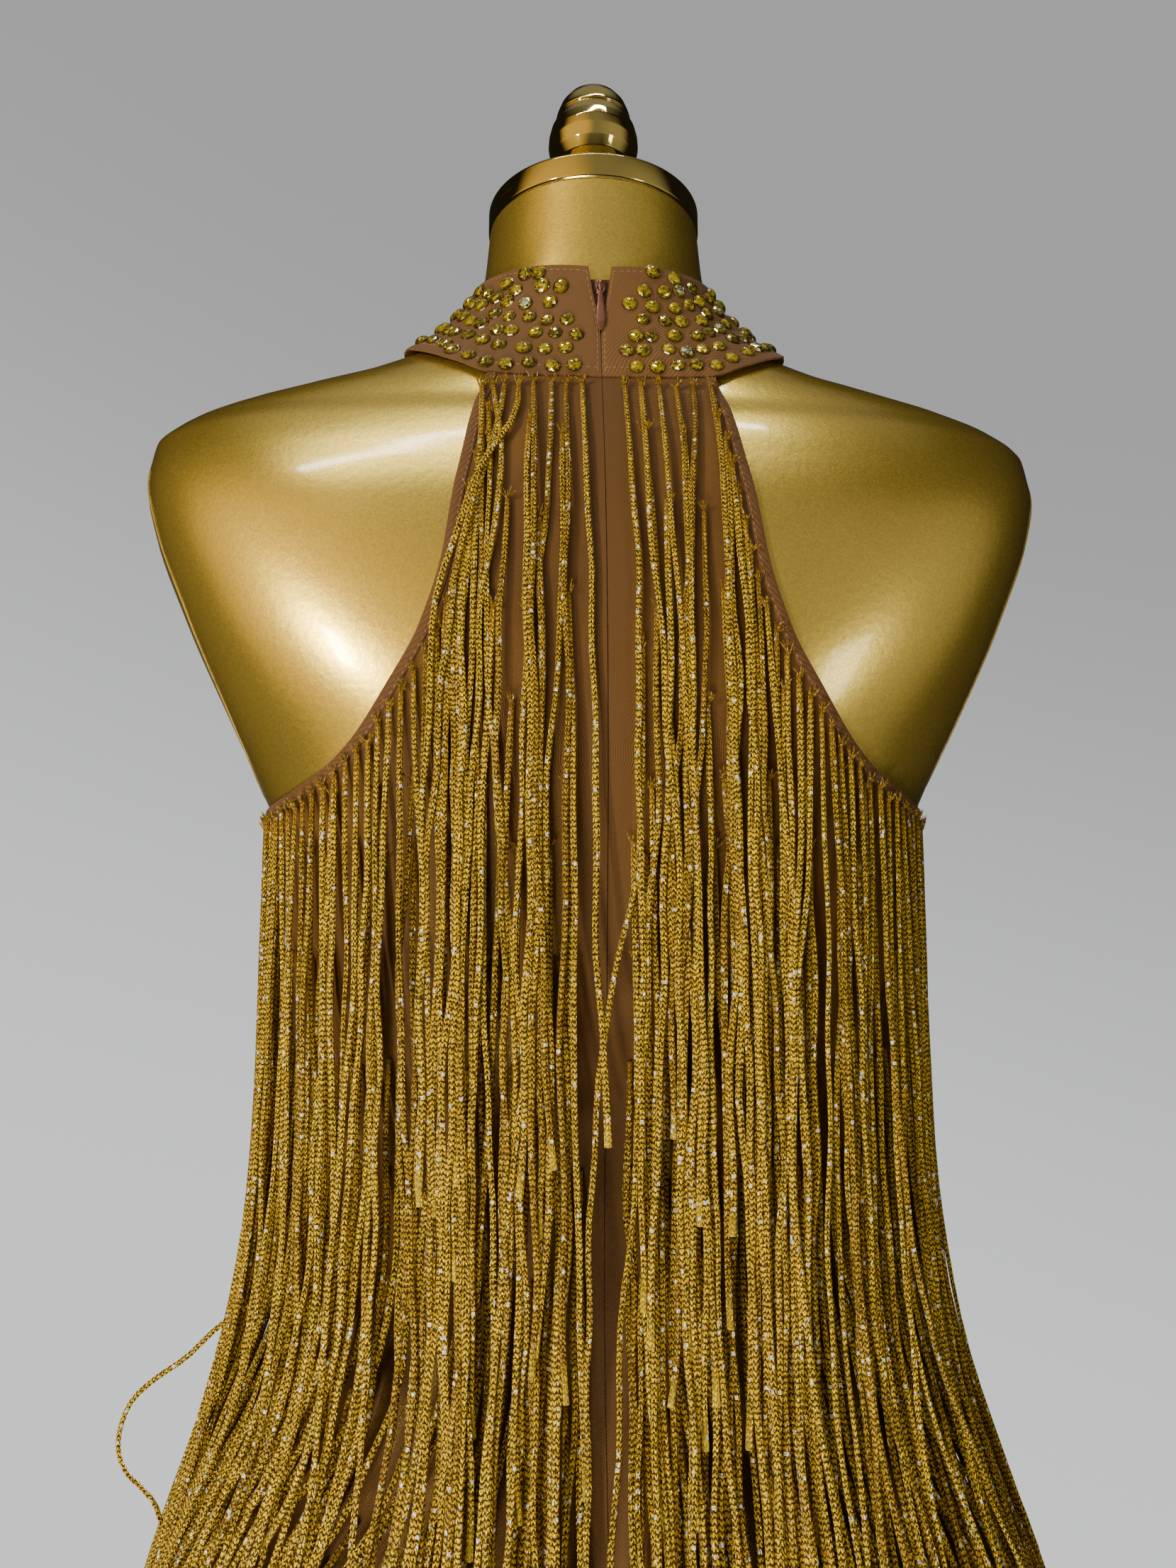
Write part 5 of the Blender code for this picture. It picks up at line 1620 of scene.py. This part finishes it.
class TASSEL_PG_form(bpy.types.PropertyGroup):
    """Finishes of the dress form."""

    lacquer_bright: colour_property("Lacquer", "Pearl lacquer where it is brightest", (0.80, 0.595, 0.115))
    lacquer_deep: colour_property("Lacquer, deep", "Pearl lacquer where it is deepest", (0.60, 0.430, 0.070))
    plating_colour: colour_property("Plating", "Plating of the cap, the finial and stand", (0.66, 0.53, 0.18))


class TASSEL_PG_cloth(bpy.types.PropertyGroup):
    """Cloth of the dress."""

    mesh_thickness: size_property("Mesh thickness", "Thickness of the stretch mesh", 0.55 * MM)
    collar_thickness: size_property("Collar thickness", "Thickness of the collar's band", 1.6 * MM)
    binding_width: size_property("Binding width", "Width of the armholes' binding", 3.2 * MM)
    knit_pitch: size_property("Knit pitch", "Distance between the mesh's wales", 1.1 * MM)
    mesh_colour: colour_property("Mesh", "Stretch mesh where it is brightest", (0.180, 0.086, 0.017))
    mesh_shade: colour_property("Mesh, deep", "Stretch mesh where it is deepest", (0.122, 0.055, 0.010))
    collar_colour: colour_property("Collar", "Cloth of the collar", (0.160, 0.075, 0.020))
    binding_colour: colour_property("Binding", "Cloth of the armholes' binding", (0.125, 0.056, 0.016))
    tape_colour: colour_property("Tape", "Tape of the zip", (0.100, 0.042, 0.010))
    thread_colour: colour_property("Thread", "Sewing thread", (0.330, 0.180, 0.075))


class TASSEL_PG_fringe(bpy.types.PropertyGroup):
    """Chainette fringe."""

    strand_width: size_property("Strand width", "Width of a strand", 2.55 * MM)
    strand_thickness: size_property("Strand thickness", "Thickness of a strand", 2.0 * MM)
    strand_length: size_property("Strand length", "Usual length of a strand", 0.320)
    link_pitch: size_property("Link pitch", "Length of one link of the chain", 2.0 * MM)
    strand_pitch: size_property("Strand pitch", "Distance between strands in a row", 6.3 * MM)
    row_pitch: size_property("Row pitch", "Distance between rows", 40.5 * MM)
    glint_share: number_property("Glints", "Share of the links in which the silver thread shows", 0.040,
                                 max=1.0, subtype="FACTOR")
    yarn_bright: colour_property("Yarn", "Yarn where it is brightest", (1.0, 0.63, 0.010))
    # Deep end of the yarn's own tone; a much darker copy of it is the painted shade in the plait's hollows.
    yarn_deep_and_hollow_shade: colour_property("Yarn, deep", "Yarn where it is deepest", (0.38, 0.185, 0.002))
    head_colour: colour_property("Heads", "Frayed heads of the strands", (0.52, 0.26, 0.012))
    # Tints the cut ends, and is also the painted highlight colour of the yarn's fine specks.
    tip_and_highlight_colour: colour_property("Cut ends", "Cut ends of the strands", (1.0, 0.74, 0.030))
    # The lurex is painted near white: partly the thread's own silver, partly painted glint.
    glint_colour: colour_property("Lurex", "Silver thread in the yarn", (1.0, 0.99, 0.95))


class TASSEL_PG_trim(bpy.types.PropertyGroup):
    """Stones and zip."""

    stone_width: size_property("Stone width", "Width of a stone", 6.9 * MM)
    stone_pitch: size_property("Stone pitch", "Distance between stones", 9.2 * MM)
    # Bright and deep ends of the stones' own tone and of the reflections painted on their facets.
    stone_bright: colour_property("Stones", "Stones where they are brightest", (0.62, 0.48, 0.009))
    stone_deep: colour_property("Stones, deep", "Stones where they are deepest", (0.065, 0.047, 0.003))
    spark_colour: colour_property("Sparks", "Stones that catch the light", (0.62, 0.80, 0.76))
    zip_colour: colour_property("Zip metal", "Enamel of the slider and the pull", (0.20, 0.082, 0.056))


class TASSEL_PG_stage(bpy.types.PropertyGroup):
    """Stage, light and camera."""

    floor_colour: colour_property("Floor", "Floor under the form", (0.62, 0.62, 0.61))
    floor_reach: size_property("Floor radius", "Radius of the round floor", 1.72)
    wall_top: colour_property("Surroundings, top", "Plain surroundings above the form", (0.40, 0.405, 0.40))
    wall_low: colour_property("Surroundings, low", "Plain surroundings at the hips", (0.90, 0.91, 0.92))
    key_power: number_property("Key light", "Power of the large light", 13.5, unit="POWER")
    fill_power: number_property("Fill light", "Power of the fill light", 10.0, unit="POWER")
    room_light: number_property("Room", "Strength of the light from all round", 0.55)
    view_distance: size_property("Camera distance", "Distance of the camera from the form's axis", 0.541)
    view_height: size_property("Camera height", "Height of the camera above the floor", 1.168)
    view_aside: size_property("Camera aside", "Distance of the camera to the left of the axis", 2.6 * MM)
    view_turn: angle_property("Camera turn", "Turn of the camera round the form", 2.7)
    view_rise: angle_property("Camera rise", "Angle that the camera looks up", 7.2)
    lens: number_property("Lens", "Focal length in millimetres, on a sensor 36 mm high", 27.05, unit="CAMERA")


# Operators


class TASSEL_OT_form(bpy.types.Operator):
    """Build the moulded body of the dress form and the seams of its arm plates"""

    bl_idname = "tassel.form"
    bl_label = "Dress form"

    def execute(self, context):
        form = context.scene.tassel_form
        lacquer = made_once(lacquer_material, "pearl_lacquer", form)
        place_piece(make_form_body(lacquer), ["form_body"])
        seam = made_once(lacquer_seam_material, "lacquer_seam", form)
        for side in (-1, 1):
            place_piece(make_arm_seam(side, seam))
        return {"FINISHED"}


class TASSEL_OT_stand(bpy.types.Operator):
    """Turn the cap, the finial, and the flange, pole, socket and base of the stand"""

    bl_idname = "tassel.stand"
    bl_label = "Cap, finial and stand"

    def execute(self, context):
        plating = made_once(plating_material, "gold_plating", context.scene.tassel_form)
        for turning in TURNINGS:
            place_piece(turned(turning, plating), [turning.solid])
        return {"FINISHED"}


class TASSEL_OT_panels(bpy.types.Operator):
    """Cut the front and the two halves of the back in stretch mesh, and bind the armholes and the hem"""

    bl_idname = "tassel.panels"
    bl_label = "Panels, bindings and hem"

    def execute(self, context):
        cloth = context.scene.tassel_cloth
        mesh = made_once(mesh_material, "power_mesh", cloth, 0.85, 1.0)
        double = made_once(mesh_material, "power_mesh_double", cloth, 0.25, 0.8)
        bound = made_once(twill_material, "binding_cloth", cloth.binding_colour, 8500, 0.2)
        thread = made_once(thread_material, "thread", cloth.thread_colour)
        rng = np.random.default_rng(SEED + 400)
        for side in (-1, 1):
            binding = make_binding(side, cloth, bound)
            seam = make_binding_stitches(side, cloth, thread, rng)
            for piece in (binding, seam):
                place_piece(piece)
        hem = make_hem(cloth, double)
        place_piece(hem)
        for side in (-1, 1):
            shares = np.maximum(np.linspace(0, 1, PANEL_COLUMNS), 1e-9) * side
            panel = make_panel(f"back_mesh_{side_name(side)}", shares[::side], 0.0, cloth, mesh)
            place_piece(panel, [f"back_panel_{side_name(side)}"])
        front = make_panel("front_mesh", np.linspace(-1, 1, 2 * PANEL_COLUMNS), 180.0, cloth, mesh)
        place_piece(front, ["front_panel"])
        return {"FINISHED"}


class TASSEL_OT_collar(bpy.types.Operator):
    """Shape the halter collar and sew its edges"""

    bl_idname = "tassel.collar"
    bl_label = "Collar"

    def execute(self, context):
        cloth = context.scene.tassel_cloth
        twill = made_once(twill_material, "collar_cloth", cloth.collar_colour, 10500, -0.38)
        thread = made_once(thread_material, "thread", cloth.thread_colour)
        collar = make_collar(cloth, twill)
        place_piece(collar, ["collar"])
        stitches = make_collar_stitches(cloth, thread, np.random.default_rng(SEED + 401))
        place_piece(stitches)
        return {"FINISHED"}


class TASSEL_OT_stones(bpy.types.Operator):
    """Set the faceted stones on the collar"""

    bl_idname = "tassel.stones"
    bl_label = "Stones"

    def execute(self, context):
        trim, cloth = context.scene.tassel_trim, context.scene.tassel_cloth
        crystal = made_once(stone_material, "citrine_stone", trim)
        stones = make_stones(trim, cloth, crystal, np.random.default_rng(SEED + 402))
        place_piece(stones)
        return {"FINISHED"}


class TASSEL_OT_zip(bpy.types.Operator):
    """Fit the zip's tape, coil and slider, and hang the pull tab on it"""

    bl_idname = "tassel.zip"
    bl_label = "Zip"

    def execute(self, context):
        cloth, trim = context.scene.tassel_cloth, context.scene.tassel_trim
        metal = made_once(zip_material, "zip_enamel", trim)
        tape = make_zip_tape(made_once(twill_material, "tape_cloth", cloth.tape_colour, 9000, 0.1))
        place_piece(tape, ["zip_tape"])
        coil = make_zip_coil(made_once(thread_material, "coil_thread", cloth.tape_colour))
        place_piece(coil)
        place_piece(make_slider(metal), ["zip_slider"])
        place_piece(make_pull(metal), ["zip_pull"], PULL)
        return {"FINISHED"}


class TASSEL_OT_body_fringe(bpy.types.Operator):
    """Hang the rows of chainette fringe round the body"""

    bl_idname = "tassel.body_fringe"
    bl_label = "Body fringe"

    def execute(self, context):
        fringe = context.scene.tassel_fringe
        chain = made_once(chainette_material, "chainette_yarn", fringe)
        for index in range(BODY_ROWS):
            row = make_body_row(index, fringe, chain)
            place_piece(row, [f"fringe_row_{1 + index * 3 // BODY_ROWS}"])
        return {"FINISHED"}


class TASSEL_OT_upper_fringe(bpy.types.Operator):
    """Hang the strands of the armholes, the collar and the upper back and front"""

    bl_idname = "tassel.upper_fringe"
    bl_label = "Upper fringe"

    def execute(self, context):
        fringe = context.scene.tassel_fringe
        chain = made_once(chainette_material, "chainette_yarn", fringe)
        for side in (-1, 1):
            for front in (False, True):
                armhole = make_armhole_fringe(side, front, fringe, chain)
                place_piece(armhole, [f"fringe_armhole_{quarter_name(side, front)}"])
                place_piece(make_loose_fringe(side, front, fringe, chain))
            xs = np.array(COLLAR_ROOTS_RIGHT if side > 0 else COLLAR_ROOTS_LEFT)
            name = f"collar_fringe_{side_name(side)}"
            hung = make_collar_fringe(name, xs, COLLAR_ROW_HEIGHT, False, fringe, chain, 310 + side)
            place_piece(hung, [f"fringe_collar_{side_name(side)}"])
        half = FRONT_PITCH * (0.5 + np.arange(FRONT_STRANDS))
        xs = np.concatenate((-half[::-1], half))
        hung = make_collar_fringe("collar_fringe_front", xs, FRONT_ROW_HEIGHT, True, fringe, chain, 320)
        place_piece(hung, ["fringe_collar_front"])
        place_piece(make_laid_fringe(fringe, chain))
        return {"FINISHED"}


# Lights: each one's place, size and target, and its power as a share of the key or the fill light's.
WARM_WHITE = (1.0, 0.97, 0.92)
LOW_WHITE = (1.0, 0.94, 0.84)
Lamp = namedtuple("Lamp", "name place size target power share colour")
LAMPS = (
    Lamp("key", (-0.94, -1.08, 1.40), (0.10, 0.22), (0.0, 0.0, 1.15), "key_power", 1.0, (1.0, 0.91, 0.74)),
    Lamp("tube", (-0.20, -0.54, 2.60), (1.20, 0.045), (-0.32, -0.05, 1.3), "key_power", 0.5, WARM_WHITE),
    Lamp("low_room", (-0.3, -0.72, 0.7), (0.3, 0.2), (-0.05, -0.1, 0.96), "fill_power", 0.78, LOW_WHITE),
    Lamp("side_right", (0.95, -1.07, 1.34), (0.22, 0.42), (0.0, 0.0, 1.2), "fill_power", 0.2, WARM_WHITE),
    Lamp("front_fill", (0.3, 2.2, 0.8), (1.2, 0.8), (0.0, 0.0, 1.0), "fill_power", 3.0, WARM_WHITE),
)
# Soft bright parts of the room: the way to each, the cosines between which it grows, and its colour.
Glow = namedtuple("Glow", "towards begins full colour")
GLOWS = (
    Glow((0.0, -0.94, 0.34), 0.60, 0.98, (0.55, 0.50, 0.41)),
    Glow((-0.72, -0.68, 0.20), 0.68, 0.97, (1.80, 1.24, 0.46)),
    Glow((0.78, -0.60, 0.12), 0.72, 0.98, (0.75, 0.69, 0.50)),
    Glow((0.0, 0.97, 0.10), 0.80, 0.98, (0.24, 0.24, 0.24)),
    Glow((0.0, 0.0, 1.0), 0.80, 0.98, (0.60, 0.58, 0.54)),
)
ROOM_COLOUR = (0.030, 0.026, 0.020)
# The wall's shade changes between these heights of the view's direction, and the line between leans.
WALL_RISE = (-0.38, 0.56)
WALL_LEAN = 0.3


def add_lamp(lamp, stage):
    """An area light that faces a place on the form."""
    data = bpy.data.lights.new(lamp.name, "AREA")
    data.shape = "RECTANGLE"
    data.size, data.size_y = lamp.size
    data.energy = lamp.share * getattr(stage, lamp.power)
    data.color = lamp.colour
    light = bpy.data.objects.new(lamp.name, data)
    light.location = lamp.place
    away = np.array(lamp.place) - np.array(lamp.target)
    tip = math.atan2(math.hypot(away[0], away[1]), away[2])
    light.rotation_euler = (tip, 0.0, math.atan2(away[0], -away[1]))
    bpy.context.scene.collection.objects.link(light)


def make_world(stage):
    """Soft light from all round: pale walls behind the form, a dimmer room before it."""
    world = bpy.data.worlds.new("studio")
    world.use_nodes = True
    tree = world.node_tree
    direction = node(tree, "ShaderNodeTexCoord", {}, "Generated")
    room = ROOM_COLOUR
    for glow in GLOWS:
        facing = {0: direction, 1: glow.towards}
        near = node(tree, "ShaderNodeVectorMath", facing, "Value", operation="DOT_PRODUCT")
        room = near.remapped(glow.begins, glow.full).blended(room, glow.colour)
    x, _, z = direction.split()
    wall = (x * WALL_LEAN + z).remapped(*WALL_RISE).blended(stage.wall_low, stage.wall_top)
    seen = node(tree, "ShaderNodeLightPath", {}, "Is Camera Ray")
    strength = seen * (1.0 - stage.room_light) + stage.room_light
    background = tree.nodes["Background"]
    tree.links.new(seen.blended(room, wall).socket, background.inputs["Color"])
    tree.links.new(strength.socket, background.inputs["Strength"])
    bpy.context.scene.world = world


def make_camera(stage):
    """The camera at the photograph's place, close behind the form and looking a little up."""
    data = bpy.data.cameras.new("camera")
    data.sensor_fit = "VERTICAL"
    data.sensor_width = data.sensor_height = 36.0
    data.lens = stage.lens
    data.dof.use_dof = False
    camera = bpy.data.objects.new("camera", data)
    across = np.array((math.cos(stage.view_turn), -math.sin(stage.view_turn)))
    ahead = np.array((math.sin(stage.view_turn), math.cos(stage.view_turn)))
    place = -ahead * stage.view_distance - across * stage.view_aside
    camera.location = (place[0], place[1], stage.view_height)
    camera.rotation_euler = (math.pi / 2 + stage.view_rise, 0.0, -stage.view_turn)
    bpy.context.scene.collection.objects.link(camera)
    bpy.context.scene.camera = camera


def make_floor(stage):
    """A plain pale floor."""
    material, tree = new_material("floor")
    value = noise(object_place(tree), 3.0)
    colour = np.array(stage.floor_colour)
    wired(material, base_color=value.blended(colour * 0.97, colour * 1.02),
          roughness=value.remapped(0.0, 1.0, 0.55, 0.65))
    count = 96
    turns = math.tau * np.arange(count) / count
    rim = np.stack((np.cos(turns), np.sin(turns), 0 * turns), -1) * stage.floor_reach
    parts = Parts()
    parts.add(rim, [np.arange(count)[None]])
    parts.make("floor", material)


class TASSEL_OT_stage(bpy.types.Operator):
    """Set the plain floor, the soft studio light and the camera"""

    bl_idname = "tassel.stage"
    bl_label = "Stage"

    def execute(self, context):
        stage = context.scene.tassel_stage
        make_floor(stage)
        make_world(stage)
        make_camera(stage)
        for lamp in LAMPS:
            add_lamp(lamp, stage)
        return {"FINISHED"}


class TASSEL_PT_dress(bpy.types.Panel):
    """Sizes, colours and steps of the tassel dress"""

    bl_label = "Tassel Dress"
    bl_idname = "TASSEL_PT_dress"
    bl_space_type = "VIEW_3D"
    bl_region_type = "UI"
    bl_category = "Tassel Dress"

    def draw(self, context):
        scene = context.scene
        for name, steps in PANEL_LAYOUT:
            group = getattr(scene, f"tassel_{name}")
            box = self.layout.box()
            box.label(text=name.title())
            for field in group.bl_rna.properties:
                if field.identifier not in ("rna_type", "name"):
                    box.prop(group, field.identifier)
            for step in steps:
                box.operator(f"tassel.{step}")


PANEL_LAYOUT = (
    ("form", ("form", "stand")),
    ("cloth", ("panels", "collar")),
    ("trim", ("stones", "zip")),
    ("fringe", ("body_fringe", "upper_fringe")),
    ("stage", ("stage",)),
)
GROUPS = {
    "tassel_form": TASSEL_PG_form,
    "tassel_cloth": TASSEL_PG_cloth,
    "tassel_fringe": TASSEL_PG_fringe,
    "tassel_trim": TASSEL_PG_trim,
    "tassel_stage": TASSEL_PG_stage,
}
CLASSES = (
    *GROUPS.values(), TASSEL_OT_form, TASSEL_OT_stand, TASSEL_OT_panels, TASSEL_OT_collar, TASSEL_OT_stones,
    TASSEL_OT_zip, TASSEL_OT_body_fringe, TASSEL_OT_upper_fringe, TASSEL_OT_stage, TASSEL_PT_dress,
)


def register():
    for kind in CLASSES:
        bpy.utils.register_class(kind)
    for name, group in GROUPS.items():
        setattr(bpy.types.Scene, name, PointerProperty(type=group))


def unregister():
    for name in GROUPS:
        delattr(bpy.types.Scene, name)
    for kind in reversed(CLASSES):
        bpy.utils.unregister_class(kind)


def main():
    """Build every piece in order."""
    register()
    for _, steps in PANEL_LAYOUT:
        for step in steps:
            getattr(bpy.ops.tassel, step)()


if __name__ == "__main__":
    main()
